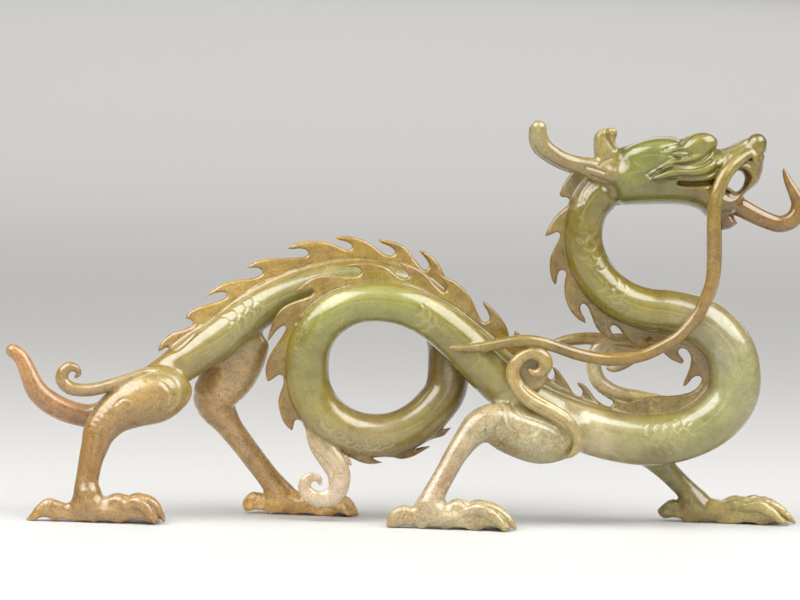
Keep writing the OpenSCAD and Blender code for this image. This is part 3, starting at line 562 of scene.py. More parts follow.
chain_node("neck", "green_jade", body(NAPE, THROAT), 0)
chain_node("breast", "green_jade", body(THROAT, ELBOW), 0)
chain_node("forebody", "green_jade", body(ELBOW, OVER), 0)
chain_node("loop_coil", "green_jade", body(OVER, RISE), 0)
chain_node("hindbody", "green_jade", body(RISE, RUMP), 0.3)
chain_node("tail", "russet_jade", line3(TAIL, 4), 0.4)
chain_node("foreleg_right", "russet_jade", line3(FORELEG, 4, 0.8, 1.0), 2.6)
chain_node("foreleg_left", "russet_jade", line3(FORELEG_FAR, 4, 0.8, 1.0), 3.0)
chain_node("hindleg_right", "russet_jade", line3(HINDLEG, 4, 0.8, 1.0), 2.6)
chain_node("hindleg_left", "russet_jade", line3(HINDLEG_FAR, 4, 0.8, 1.0), 3.0)


def head_width(u):
    return float(np.interp(u, [596, 612, 640, 675, 700, 714, 735, 752, 766], [8, 10, 10.8, 11, 10.4, 8.6, 7.2, 7.4, 5.5]))


def head_rim(u):
    return float(np.interp(u, [600, 640, 690, 714, 735, 766], [8.5, 9.5, 9, 6.0, 4.6, 4.2]))


JAW_REGION = [(678,181.5), (710,181.5), (727,185), (734,190.5), (741,193.8), (746,196), (748,222), (690,222), (694,206), (684,192)]


def head_base(f):
    put_puff(f, SKULL_OUT, 0.0, head_width, head_rim, 0.0, holes=(MOUTH,), smooth=2)
    for side in (-1, 1):
        def ridge(rows, k=0.6):
            put_chain(f, line3([(u, v, r, side * y) for u, v, r, y in rows], 3), k)

        # brow bulge over the eye, and the dome behind it
        put_ball(f, P(699, 145, side * 7.6), (5.6, 3.6, 3.9), 1.5, math.radians(12))
        put_ball(f, P(690, 149, side * 8.2), (4.2, 3.0, 3.0), 1.2, math.radians(30))
        put_ball(f, P(652, 153, side * 6.6), (9.5, 4.2, 4.2), 2.4, math.radians(9))
        # upper ridge: from the brow's top down its front and back under the eye
        ridge([(707,138,1.6,7.0),(708,146,2.6,8.2),(703,152.5,3.0,9.2),(694,158,3.2,10.3),(682,161,3.0,10.8),(671,164,2.8,10.9),
            (661,168.5,2.6,10.9),(653,173,1.6,10.7)], 0.35)
        # upper lid, lower lid and eyeball
        ridge([(691,156.5,1.2,9.8),(685,151.5,1.7,10.0),(677,149.5,1.7,10.2),(669,152.5,1.1,10.2)], 0.3)
        put_ball(f, P(678.5, 154.8, side * 9.9), (2.9, 1.5, 1.25), 0.25, math.radians(-4))
        # middle ridge between the eye and the cheek band
        ridge([(712,152,1.4,7.6),(708,158,2.0,8.8),(699,163,2.0,9.8),(688,165.6,1.8,10.3),(676,166.6,1.7,10.5),(665,170,1.6,10.5),(657,174.5,1.2,10.4)], 0.35)
        # cheek band, thick and glossy, with a round end
        ridge([(712.5,160.5,2.4,8.5),(709,166,4.8,9.3),(701,170.3,5.4,9.9),(690,172.3,5.0,10.5),(680,171.8,4.8,10.7),(671,173,5.0,10.8),
            (662,176.2,4.8,10.7),(653.5,178,3.6,10.6)], 0.35)
        # short cords behind the whisker's root
        for i in range(3):
            ridge([(713 + 4 * i, 176 - 4.5 * i, 1.2, 8.4 - 0.4 * i), (717 + 4 * i, 170 - 4.5 * i, 1.6, 8.3 - 0.4 * i), (721 + 3.4 * i, 163 - 4.2 * i, 1.1, 7.9 - 0.4 * i)], 0.3)
        # wing of the nostril and the tip of the nose
        ridge([(742,152.5,1.8,6.4),(747.5,152.5,3.0,7.0),(751.5,157,3.6,7.2),(754,163,3.2,6.8),(754,169,2.0,6.2)], 0.5)
        put_ball(f, P(756, 142, side * 4.2), (3.0, 3.0, 2.7), 1.8)
        put_ball(f, P(757, 152, side * 4.2), (2.2, 2.6, 3.6), 1.8)
        ridge([(722,152,2.2,4.6),(730,149.5,2.6,4.4),(738,146.5,2.4,4.2),(746,142,2.2,4.2)], 0.9)
        # upper lip round the open mouth, ending in the front fang
        ridge([(722,172,1.8,6.6),(728,167.8,2.2,6.9),(736,165.6,2.6,7.0),(744,167,2.8,6.8),(750,172,3.0,6.2),(752.5,179,2.6,5.2),(748,186,2.2,4.4),(742,191.5,1.8,3.4)], 0.5)
        # lip roll over the mouth slot and the row of teeth under it
        ridge([(676,178.6,1.5,10.1),(690,178.2,1.9,9.9),(705,177.6,1.9,9.0),(716,175.6,1.5,7.8)], 0.5)
        ridge([(683,187.6,1.4,9.9),(695,188.4,2.0,9.6),(706,190.4,2.0,8.8),(717,191,1.6,7.4)], 0.5)
        for i in range(5):
            put_ball(f, P(689 + 4.4 * i, 186.4 + 0.45 * i, side * (9.9 - 0.28 * i)), (0.62, 0.7, 0.95), 0.25)
        # lower jaw: lip from the hinge to the chin, fang in front of the mouth hole
        ridge([(722,186,1.6,6.6),(728,190,1.8,6.2),(734,194,1.8,5.2),(739,198,1.8,3.8)], 0.4)
        ridge([(740,192,1.5,3.6),(737.5,198,1.9,4.0),(736,204,1.9,4.2),(738,211,1.4,3.6)], 0.4)
        put_ball(f, P(727, 201, side * 4.4), (3.2, 1.7, 3.4), 0.8)


def jaw_side(f):
    x, y, z = f.axes()
    X2, Z2 = x[:, 0, :] + 0 * z[:, 0, :], z[:, 0, :] + 0 * x[:, 0, :]
    return poly_distance(X2, Z2, poly_mm(JAW_REGION))[:, None, :]


def build_skull(f):
    head_base(f)
    f.blend = f.a
    f.a = np.maximum(f.a, -jaw_side(f))


def build_jaw(f):
    head_base(f)
    f.a = np.maximum(f.a, jaw_side(f))
    f.blend = None


lo, hi = sheet_box(596, 768, 128, 222, -13, 13)
node("skull", "green_jade", build_skull, lo, hi, 1.6)
lo, hi = sheet_box(676, 750, 178, 222, -13, 13)
node("lower_jaw", "green_jade", build_jaw, lo, hi, 0)

chain_node("beard_curl", "honey_jade", line3(BEARD, 4, 0.85, 0.75), 1.2)
TUFT = [(706,208), (714,221), (718,230.4), (726,229.6), (731,228), (737,223.5), (735,219.5), (731,213), (729,206), (712,205)]


def build_tuft(f):
    put_puff(f, TUFT, 0.0, 4.2, 2.0, 0.0, smooth=2)


lo, hi = sheet_box(706, 740, 202, 232, -4, 4)
node("chin_tuft", "honey_jade", build_tuft, lo, hi, 1.4)
chain_node("antler_right", "honey_jade", line3(ANTLER, 4, 0.9), 1.6)
chain_node("antler_left", "honey_jade", line3(mirrored(ANTLER), 4, 0.9), 1.6)
EAR = [(600,168), (595.5,158), (594.2,150), (593.8,145), (594,138), (596,132), (601,129.5), (608,127.8), (613.5,129.5), (616.3,134), (614.6,139), (614.2,143.6), (617,148), (618,160), (614,168)]
for side, name in ((-1, "ear_right"), (1, "ear_left")):
    def build_ear(f, side=side):
        put_puff(f, EAR, side * 6.6, 2.3, 2.2, 0.0, smooth=2)
        put_chain(f, line3([(600,155,1.6,side * 8.2), (598,147,2.2,side * 8.6), (597.5,139,2.4,side * 8.7), (600,134,2.2,side * 8.6)], 3), 0.5)
        put_ball(f, P(610.5, 132.5, side * 8.2), (1.7, 1.4, 1.5), 0.5)
    lo, hi = sheet_box(592, 620, 126, 164, side * 6.6 - 3.4, side * 6.6 + 3.4)
    node(name, "honey_jade", build_ear, lo, hi, 1.8)


def crest_node(name, runs, k):
    pts = np.vstack([np.asarray(q[0], float) for q in runs])
    ys = np.concatenate([BODY[SUB * q[1] : SUB * q[2] + 1, 1] for q in runs])
    lo, hi = sheet_box(pts[:, 0].min(), pts[:, 0].max(), pts[:, 1].min(), pts[:, 1].max(), ys.min() - 2, ys.max() + 2)

    def build(f):
        for q in runs:
            put_crest(f, *q)

    node(name, "russet_jade", build, lo, hi, k)


crest_node("neck_crest", [(NECK_EDGE, 0, 7)], 0.7)
crest_node("breast_crest", [(BREAST_EDGE, 6, 23)], 0.7)
crest_node("loop_crest", [(FORE_EDGE, 24, 40), (UNDER_EDGE, 40, 44)], 0.7)
crest_node("back_crest", [(BACK_EDGE, 48, 61)], 0.7)
for name, foot in (("forefoot_right", FOOT_FR), ("forefoot_left", FOOT_FL), ("hindfoot_right", FOOT_HR), ("hindfoot_left", FOOT_HL)):
    us = [q[0] for q in foot["front"] + foot["heel"]]
    vs = [q[1] for q in foot["front"] + foot["heel"]]
    lo, hi = sheet_box(min(us), max(us), min(vs) - 2, max(vs) + 2, foot["y"] - 12, foot["y"] + 12)
    lo = (lo[0], lo[1], 0.0)
    node(name, "russet_jade", lambda f, foot=foot: put_foot(f, foot), lo, hi, 1.6)


def ribbon(name, rows, k, w):
    chain_node(name, "honey_jade", line3(rows, 5, w), k)


PIT = [(511,366), (517,356), (529,350), (543,353), (549,364), (547,376), (541,388), (527,394), (514,384)]
samples = line3(SHOULDER_SCROLL, 5, 0.9)
lo, hi = chain_extent(samples)


def build_scroll(f):
    put_chain(f, samples)
    put_puff(f, PIT, -9.2, 2.0, 2.0, 0.3, smooth=2)


node("shoulder_scroll_right", "honey_jade", build_scroll, lo, hi + np.array([0, 6.0, 0]), 0.5)
PIT_FAR = [(598,351), (603,341), (618,336), (636,337.5), (646,345), (646,355), (637,361.5), (620,363.5), (605,361)]
far_samples = line3(SHOULDER_SCROLL_FAR, 5, 0.9)
lo, hi = chain_extent(far_samples)


def build_far_scroll(f):
    put_chain(f, far_samples)
    put_puff(f, PIT_FAR, 12.4, 1.7, 1.7, 0.3, smooth=2)


node("shoulder_scroll_left", "honey_jade", build_far_scroll, lo, hi, 0.5)
ribbon("hip_scroll", HIP_SCROLL, 0.5, 1.1)
belly_samples = line3(BELLY_SCROLL, 5, 0.62)
lo, hi = chain_extent(belly_samples)


def build_belly(f):
    put_chain(f, belly_samples)
    # the little barb on its back edge
    put_chain(f, line3([(345, 458, 3.2, -4.6), (348.5, 461.5, 2.4, -4.6), (351.5, 465.5, 1.0, -4.6)], 3, 0.8), 0.3)


node("belly_scroll", "honey_jade", build_belly, lo, hi + np.array([2.0, 0, 0]), 0.6)
chain_node("whisker_right", "honey_jade", line3(WHISKER, 4), 0.35)
chain_node("whisker_left", "honey_jade", line3(WHISKER_FAR, 4), 0.35)

# ---------------------------------------------------------------- engraving
# (points in sheet steps, which side's surface (-1 near, +1 far, 0 both), depth mm, half width mm, y limits)
GROOVES = []


def groove(pts, side, depth, width, ylim=None, nodes=None):
    GROOVES.append((np.asarray(sheet_line(pts, 3)), side, depth, width, ylim, nodes))


HEAD = {"skull", "lower_jaw"}
# eye rims
groove([(668,155),(674,150.5),(682,150),(689,153.5)], 0, 0.32, 0.4, (6, 14), HEAD)
groove([(668,155),(675,159),(683,159),(689,155.5)], 0, 0.32, 0.4, (6, 14), HEAD)
groove([(660,151),(668,146.5),(678,145.5)], 0, 0.3, 0.3, (6, 14), HEAD)
# lines swept back behind the eye
groove([(645,174),(651,168.5),(660,163.5),(669,158)], 0, 0.35, 0.3, (6, 14), HEAD)
groove([(648,176.5),(656,170),(664,166.5),(668,163)], 0, 0.3, 0.28, (6, 14), HEAD)
# between the ridges that sweep back from the snout
groove([(655,170.5),(664,165.8),(674,163.3),(686,163.6),(697,161),(705,155.5),(711,148)], 0, 0.5, 0.4, (5, 14), HEAD)
groove([(649,176.5),(658,172.4),(667,168.6),(678,168.2),(690,168.6),(701,165.4),(709,160)], 0, 0.55, 0.42, (5, 14), HEAD)
groove([(650,181.5),(660,181),(669,178),(678,176.6),(690,177.2),(702,176.2),(711,172.5),(717,167)], 0, 0.45, 0.42, (5, 14), HEAD)
groove([(645,173.2),(650,170),(656,167)], 0, 0.3, 0.28, (6, 14), HEAD)
groove([(645,173.2),(649,178),(653,182)], 0, 0.3, 0.28, (6, 14), HEAD)
groove([(681,139),(679,143),(673,146.5),(664,149)], 0, 0.35, 0.4, (2, 14), HEAD)
groove([(716,149),(713,154),(715,160)], 0, 0.5, 0.4, (3, 14), HEAD)
# mouth slot
groove([(678,182.5),(690,183.3),(702,182.8),(712,181.5),(722,181)], 0, 2.6, 0.75, (3.5, 14), HEAD)
groove([(654,180.5),(665,177),(678,179)], 0, 0.35, 0.4, (6, 14), HEAD)
# nostril
groove([(741,161),(745,157.5),(748,158.5)], 0, 1.2, 0.55, (3, 10), HEAD)
groove([(760,152.5),(765,153.5)], 0, 0.7, 0.5, (0, 10), HEAD)
groove([(728,166),(735,158),(744,153)], 0, 0.4, 0.4, (5, 10), HEAD)
for i in range(4):
    groove([(713 + i * 2.2, 177 - i * 4.0), (717 + i * 2.2, 171 - i * 4.0), (721 + i * 2.0, 166 - i * 4.0)], 0, 0.22, 0.25, (5, 14), HEAD)
# mane lines at the nape
for i in range(5):
    groove([(597 - i * 3.9, 184 - i * 0.8), (589 - i * 3.5, 191 + i * 0.5), (583 - i * 2.9, 202 + i * 1.5)], 0, 0.16, 0.3, (2, 12), {"neck", "neck_crest"})
groove([(602,184),(607,190),(612,198),(619,205)], 0, 0.3, 0.9, (1, 14), {"neck", "skull"})
groove([(586,166),(595,168.5),(604,171.5)], 0, 0.55, 0.5, (3, 14), {"antler_right", "antler_left", "skull", "ear_right", "ear_left"})
groove([(590,175),(598,178),(606,180)], 0, 0.4, 0.4, (3, 14), {"antler_right", "antler_left", "skull"})
groove([(605.5,131),(606.5,137),(609,143),(613,149)], 0, 0.9, 0.5, (5, 14), {"ear_right", "ear_left"})
groove([(597,166),(603,161),(610,158)], 0, 0.4, 0.4, (5, 14), {"ear_right", "ear_left", "skull", "antler_right", "antler_left"})
# the line along the foot of the crest, on both flanks
BODY_SET = {"neck", "breast", "forebody", "loop_coil", "hindbody", "neck_crest", "breast_crest", "loop_crest", "back_crest"}
groove([(169,352),(180,349),(200,330.5),(220,313),(240,296.5),(258,284),(280,275),(300,268),(320,263),(345,259.5),(375,262),(400,268)], -1, 0.4, 0.35, None, {"hindbody", "back_crest"})
groove([(297,322),(309,305),(329,291),(345,285),(360,282.5),(375,281.5),(390,282),(405,284.5),(420,289),(435,295),(450,303),(465,313),(480,325),(495,337)], -1, 0.4, 0.35, None, {"forebody", "loop_crest"})
groove([(540,384),(560,394),(580,402),(600,408.5),(625,414),(655,414.5),(682,408.5),(699,396.5),(707,380),(707,368),(704,358),(696,350),(684,343.5),(668,338.5),(650,332.5),(630,326.5),(612,319)], 0, 0.4, 0.35, None, {"breast", "neck", "breast_crest", "forebody"})
groove([(612,319),(600,311.5),(591,304),(582,294),(574,282),(567,268),(564,250),(564,235),(567,215),(572,202)], 0, 0.4, 0.35, None, {"neck", "neck_crest"})
groove([(634,400),(641,405),(650,407.4),(657,406.4),(661,403)], -1, 0.6, 0.4, None, {"breast_crest"})
groove([(646,398),(655,400),(663,399)], -1, 0.3, 0.35, None, {"breast_crest"})
# shoulder and hip muscle lines
groove([(565,426),(575,438),(575,450),(567,457)], -1, 0.4, 0.35, (7, 20), {"foreleg_right"})
groove([(526,403),(532,397)], -1, 0.25, 0.25, (10, 20), {"shoulder_scroll_right"})
SH = {"shoulder_scroll_right", "foreleg_right", "breast", "forebody"}
groove([(150,380),(160,379.5),(168,385),(172,393),(170,402)], -1, 0.24, 0.4, (8, 20), {"hindleg_right"})
groove([(118,402),(124,397),(131,397),(134,402),(130,406)], -1, 0.24, 0.36, (8, 20), {"hindleg_right"})
groove([(517,366),(517.5,376),(522,386),(530,394),(541,400.5),(554,406),(567,415),(576,427),(580,439),(577,450),(570,457)], -1, 0.3, 0.3, (9, 20), SH)
groove([(512,378),(516,388),(523,397),(534,405),(547,412),(560,420),(569,431),(572,441),(569,450),(561,456)], -1, 0.3, 0.3, (9, 20), SH)
groove([(500,403),(505,411),(507,421),(513,429),(524,433),(536,431)], -1, 0.26, 0.42, (8, 20), {"foreleg_right"})
groove([(508,399),(514,409),(524,417),(538,422),(551,428),(560,437),(562,447)], -1, 0.26, 0.42, (8, 20), {"foreleg_right"})
for i in range(6):
    groove([(489 + 3.2 * i, 405 - 0.6 * i), (494 + 3.2 * i, 397 - 0.8 * i), (501 + 3.0 * i, 391 - 0.9 * i)], -1, 0.22, 0.25, (3, 20), {"foreleg_right", "forebody"})
groove([(110,389),(130,379.5),(150,372.5),(160,371.5),(168,373),(175,378),(179,385),(180,395),(177,402),(171,409)], -1, 0.26, 0.42, (8, 20), {"hindleg_right", "hip_scroll"})
groove([(335,474),(339,473.5),(343,474.5)], -1, 0.3, 0.3, None, {"belly_scroll"})
groove([(335,477.5),(339,477),(342,478)], -1, 0.3, 0.3, None, {"belly_scroll"})
groove([(312,448),(322,457),(330,465.5),(334,474),(331,483),(323,489)], -1, 0.35, 0.32, None, {"belly_scroll", "forebody", "loop_coil"})


# nails and knuckles
for key, nodes_, y_ in (("HR", "hindfoot_right", 1), ("FR", "forefoot_right", 1), ("HL", "hindfoot_left", 1), ("FL", "forefoot_left", 1)):
    t = TOES[key]
    for i, size in ((4, 6.6), (6, 4.6)):
        u, v, _ = t[i]
        groove([(u + 2.5, v - size), (u + 4.5, v - size * 0.3), (u + 3.5, v + size * 0.6)], 0, 0.28, 0.26, (8, 30), {nodes_})
    u, v, _ = HEELS[key][3 if key == "HR" else 2]
    groove([(u + 1, v - 6), (u + 3.4, v), (u - 0.5, v + 5.4)], 0, 0.28, 0.28, (8, 30), {nodes_})


def scales(cells, r, side, depth, nodes, lean=0.0):
    """Overlapping engraved scale arcs."""
    for u, v in cells:
        pts = []
        for i in range(7):
            a = math.radians(-75 + 25 * i) + lean
            pts.append((u + r * math.cos(a), v + r * math.sin(a)))
        groove(pts, side, depth, 0.30, None, nodes)


SC = {"hindbody", "forebody", "loop_coil", "neck", "breast"}
scales([(232,316),(240,309),(248,303),(240,321),(248,315),(256,309),(225,323),(233,328)], 6.5, -1, 0.17, {"hindbody"}, math.radians(-35))
scales([(418,306),(424,312),(430,318),(424,322),(418,316)], 6, -1, 0.26, {"forebody"}, math.radians(40))
scales([(342,436),(351,440),(360,443),(369,444),(378,444),(347,446),(356,449),(365,450)], 6, -1, 0.26, {"forebody", "loop_coil"}, math.radians(100))
scales([(330,420),(338,428),(350,433),(362,437),(374,439),(386,439)], 8, -1, 0.24, {"forebody", "loop_coil"}, math.radians(110))
scales([(590,230),(597,237),(589,244),(597,251),(591,259),(600,264),(581,236),(583,252)], 6, -1, 0.13, {"neck"}, math.radians(75))
scales([(600,284),(608,290),(616,296),(612,282),(620,289)], 6, -1, 0.17, {"neck"}, math.radians(40))
scales([(652,430),(661,430),(670,428),(679,425),(688,421),(657,438),(666,438),(675,436),(684,432),(693,427),(662,446),(671,445),(680,442)], 6.5, -1, 0.15, {"breast"}, math.radians(160))


def carve(F, f, name, groove_shade, pale):
    """Cuts the engraved lines into the blended field F of node name, and records where the deeper cuts go (later
    darkened as painted shade in the grooves) and where the shallow ones go (later painted paler), for the colour.
    """
    for pts, side, depth, width, ylim, nodes in GROOVES:
        if nodes is not None and name not in nodes:
            continue
        for sgn in ((-1, 1) if side == 0 else (side,)):
            yref = sgn * (ylim[0] if ylim else 3)
            poly = np.array([(PX(u, v), PZ(u, v, yref)) for u, v in pts])
            reach = 3.2 * width
            lo = np.array([poly[:, 0].min() - reach, -30, poly[:, 1].min() - reach])
            hi = np.array([poly[:, 0].max() + reach, 30, poly[:, 1].max() + reach])
            sl = f.sub(lo, hi, 0)
            if sl is None:
                continue
            x, y, z = f.axes(sl)
            X2, Z2 = x[:, 0, :] + 0 * z[:, 0, :], z[:, 0, :] + 0 * x[:, 0, :]
            d = poly_distance(X2, Z2, poly, False)[:, None, :]
            g = np.exp(-((d / np.float32(width)) ** 2))
            if ylim:
                s = y * np.float32(sgn)
                m = np.clip((s - ylim[0]) / 0.8, 0, 1) * np.clip((ylim[1] - s) / 0.8, 0, 1)
            else:
                # only the flank that faces this way: the centre of the body here
                yc = body_centre(X2, Z2)[:, None, :]
                m = np.clip(((y - yc) * np.float32(sgn) - 0.6) / 1.2, 0, 1)
            cut = np.float32(depth) * g * m
            F[sl] = F[sl] + cut
            # deeper cuts are recorded for painted shade inside the groove, shallow ones for a paler line
            if depth < 0.27:
                pale[sl] = np.maximum(pale[sl], cut)
            else:
                groove_shade[sl] = np.maximum(groove_shade[sl], cut)


def body_centre(X2, Z2):
    """Depth of the body's middle near each side-view point (of the nearer-lying coil where two cross)."""
    u, v = to_sheet(X2, Z2, 0.0)
    best = np.full(X2.shape, 1e9, np.float32)
    yc = np.zeros(X2.shape, np.float32)
    for s in BODY[::3]:
        d = (X2 - np.float32(s[0])) ** 2 + (Z2 - np.float32(s[2])) ** 2
        m = d < best
        best = np.where(m, d, best)
        yc = np.where(m, np.float32(s[1]), yc)
    return yc


# ---------------------------------------------------------------- work the fields out
for name in ORDER:
    n = NODES[name]
    f = Field(n["lo"], n["hi"])
    n["build"](f)
    n["f"] = f

CUTS = []  # planes where one stretch of the body hands over to the next: (point, heading, radius, earlier, later)
names = ["neck", "breast", "forebody", "loop_coil", "hindbody"]
for i, at in enumerate((THROAT, ELBOW, OVER, RISE)):
    j = SUB * at
    t = BODY[j + 1, :3] - BODY[j - 1, :3]
    CUTS.append((BODY[j, :3], t / np.linalg.norm(t), BODY[j, 3], names[i], names[i + 1]))
CUTS.append((BODY[-1, :3], (BODY[-1, :3] - BODY[-3, :3]) / np.linalg.norm(BODY[-1, :3] - BODY[-3, :3]), BODY[-1, 3], "hindbody", "tail"))


def overlap(a, b):
    lo = np.maximum(a.i0, b.i0)
    hi = np.minimum(a.i0 + a.n, b.i0 + b.n)
    if (hi <= lo).any():
        return None
    return (
        tuple(slice(int(p), int(q)) for p, q in zip(lo - a.i0, hi - a.i0)),
        tuple(slice(int(p), int(q)) for p, q in zip(lo - b.i0, hi - b.i0)),
    )


def whole(name):
    """The blended field of everything over this node's box, and how far each point is past this node's share."""
    f = NODES[name]["f"]
    F = None
    other = np.full(f.n, BIG, np.float32)
    for o in ORDER:
        g = NODES[o]["f"]
        ov = overlap(f, g)
        if ov is None:
            continue
        sa, sb = ov
        if F is None:
            F = np.full(f.n, BIG, np.float32)
        blend = getattr(g, "blend", g.a)
        if blend is not None:
            F[sa] = smin(F[sa], blend[sb], NODES[o]["k"])
        if o != name:
            other[sa] = np.minimum(other[sa], g.a[sb])
    groove_shade, pale = np.zeros(f.n, np.float32), np.zeros(f.n, np.float32)
    carve(F, f, name, groove_shade, pale)
    # soles are ground flat
    if name.endswith(("foot_right", "foot_left")):
        z = f.axes()[2]
        F = smax(F, -z, 0.5)
    s = f.a - other
    for p, t, r, first, second in CUTS:
        if name not in (first, second):
            continue
        sgn = 1 if name == first else -1
        sl = f.sub(p - 2 * r, p + 2 * r, 0)
        if sl is None:
            continue
        x, y, z = f.axes(sl)
        x, y, z = x - np.float32(p[0]), y - np.float32(p[1]), z - np.float32(p[2])
        plane = (x * np.float32(t[0]) + y * np.float32(t[1]) + z * np.float32(t[2])) * np.float32(sgn)
        near = np.clip((2.0 * r - np.sqrt(x * x + y * y + z * z)) / (0.5 * r), 0, 1)
        s[sl] = np.where(near > 0, np.maximum(s[sl], np.minimum(plane, BIG) * near - (1 - near) * BIG), s[sl])
    return F, s, groove_shade, pale


# ---------------------------------------------------------------- meshing
OFF = np.array([(0, 0, 0), (1, 0, 0), (0, 1, 0), (1, 1, 0), (0, 0, 1), (1, 0, 1), (0, 1, 1), (1, 1, 1)])
EDGES = [(0, 1), (2, 3), (4, 5), (6, 7), (0, 2), (1, 3), (4, 6), (5, 7), (0, 4), (1, 5), (2, 6), (3, 7)]


def surface(F):
    """Dual mesh of the zero level: one vertex a cell, one quad a crossed grid edge."""
    ins = F < 0
    c = np.zeros(np.array(F.shape) - 1, np.uint8)
    for a, b, d in OFF:
        c += ins[a : ins.shape[0] - 1 + a, b : ins.shape[1] - 1 + b, d : ins.shape[2] - 1 + d]
    cell = np.argwhere((c > 0) & (c < 8))
    val = np.stack([F[tuple((cell + o).T)] for o in OFF], 1).astype(np.float64)
    pos = np.zeros((len(cell), 3))
    cnt = np.zeros(len(cell))
    for a, b in EDGES:
        fa, fb = val[:, a], val[:, b]
        m = (fa < 0) != (fb < 0)
        t = np.where(m, fa / np.where(m, fa - fb, 1), 0)
        p = OFF[a] + t[:, None] * (OFF[b] - OFF[a])
        pos += np.where(m[:, None], p, 0)
        cnt += m
    pos = cell + pos / cnt[:, None]
    index = np.full(c.shape, -1, np.int32)
    index[tuple(cell.T)] = np.arange(len(cell))
    quads = []
    for ax in range(3):
        o1, o2 = [(1, 2), (2, 0), (0, 1)][ax]
        lo = [slice(None)] * 3
        hi = [slice(None)] * 3
        lo[ax], hi[ax] = slice(0, -1), slice(1, None)
        A, B = ins[tuple(lo)], ins[tuple(hi)]
        e = np.argwhere(A != B)
        e = e[(e[:, o1] > 0) & (e[:, o2] > 0) & (e[:, o1] < F.shape[o1] - 1) & (e[:, o2] < F.shape[o2] - 1)]
        out = A[tuple(e.T)]
        corners = []
        for d1, d2 in ((1, 1), (0, 1), (0, 0), (1, 0)):
            q = e.copy()
            q[:, o1] -= d1
            q[:, o2] -= d2
            corners.append(index[tuple(q.T)])
        q = np.stack(corners, 1)
        q[~out] = q[~out][:, ::-1]
        quads.append(q)
    q = np.vstack(quads)
    q = q[(q >= 0).all(1)]
    return pos, q


def sample(F, p):
    """Trilinear value of a grid at positions given in grid steps."""
    i = np.clip(np.floor(p).astype(int), 0, np.array(F.shape) - 2)
    t = np.clip(p - i, 0, 1)
    out = 0
    for o in OFF:
        w = np.prod(np.where(o, t, 1 - t), axis=1)
        out = out + w * F[tuple((i + o).T)]
    return out


def slope(F, p, e=0.5):
    g = np.zeros_like(p)
    for k in range(3):
        d = np.zeros(3)
        d[k] = e
        g[:, k] = (sample(F, p + d) - sample(F, p - d)) / (2 * e)
    return g


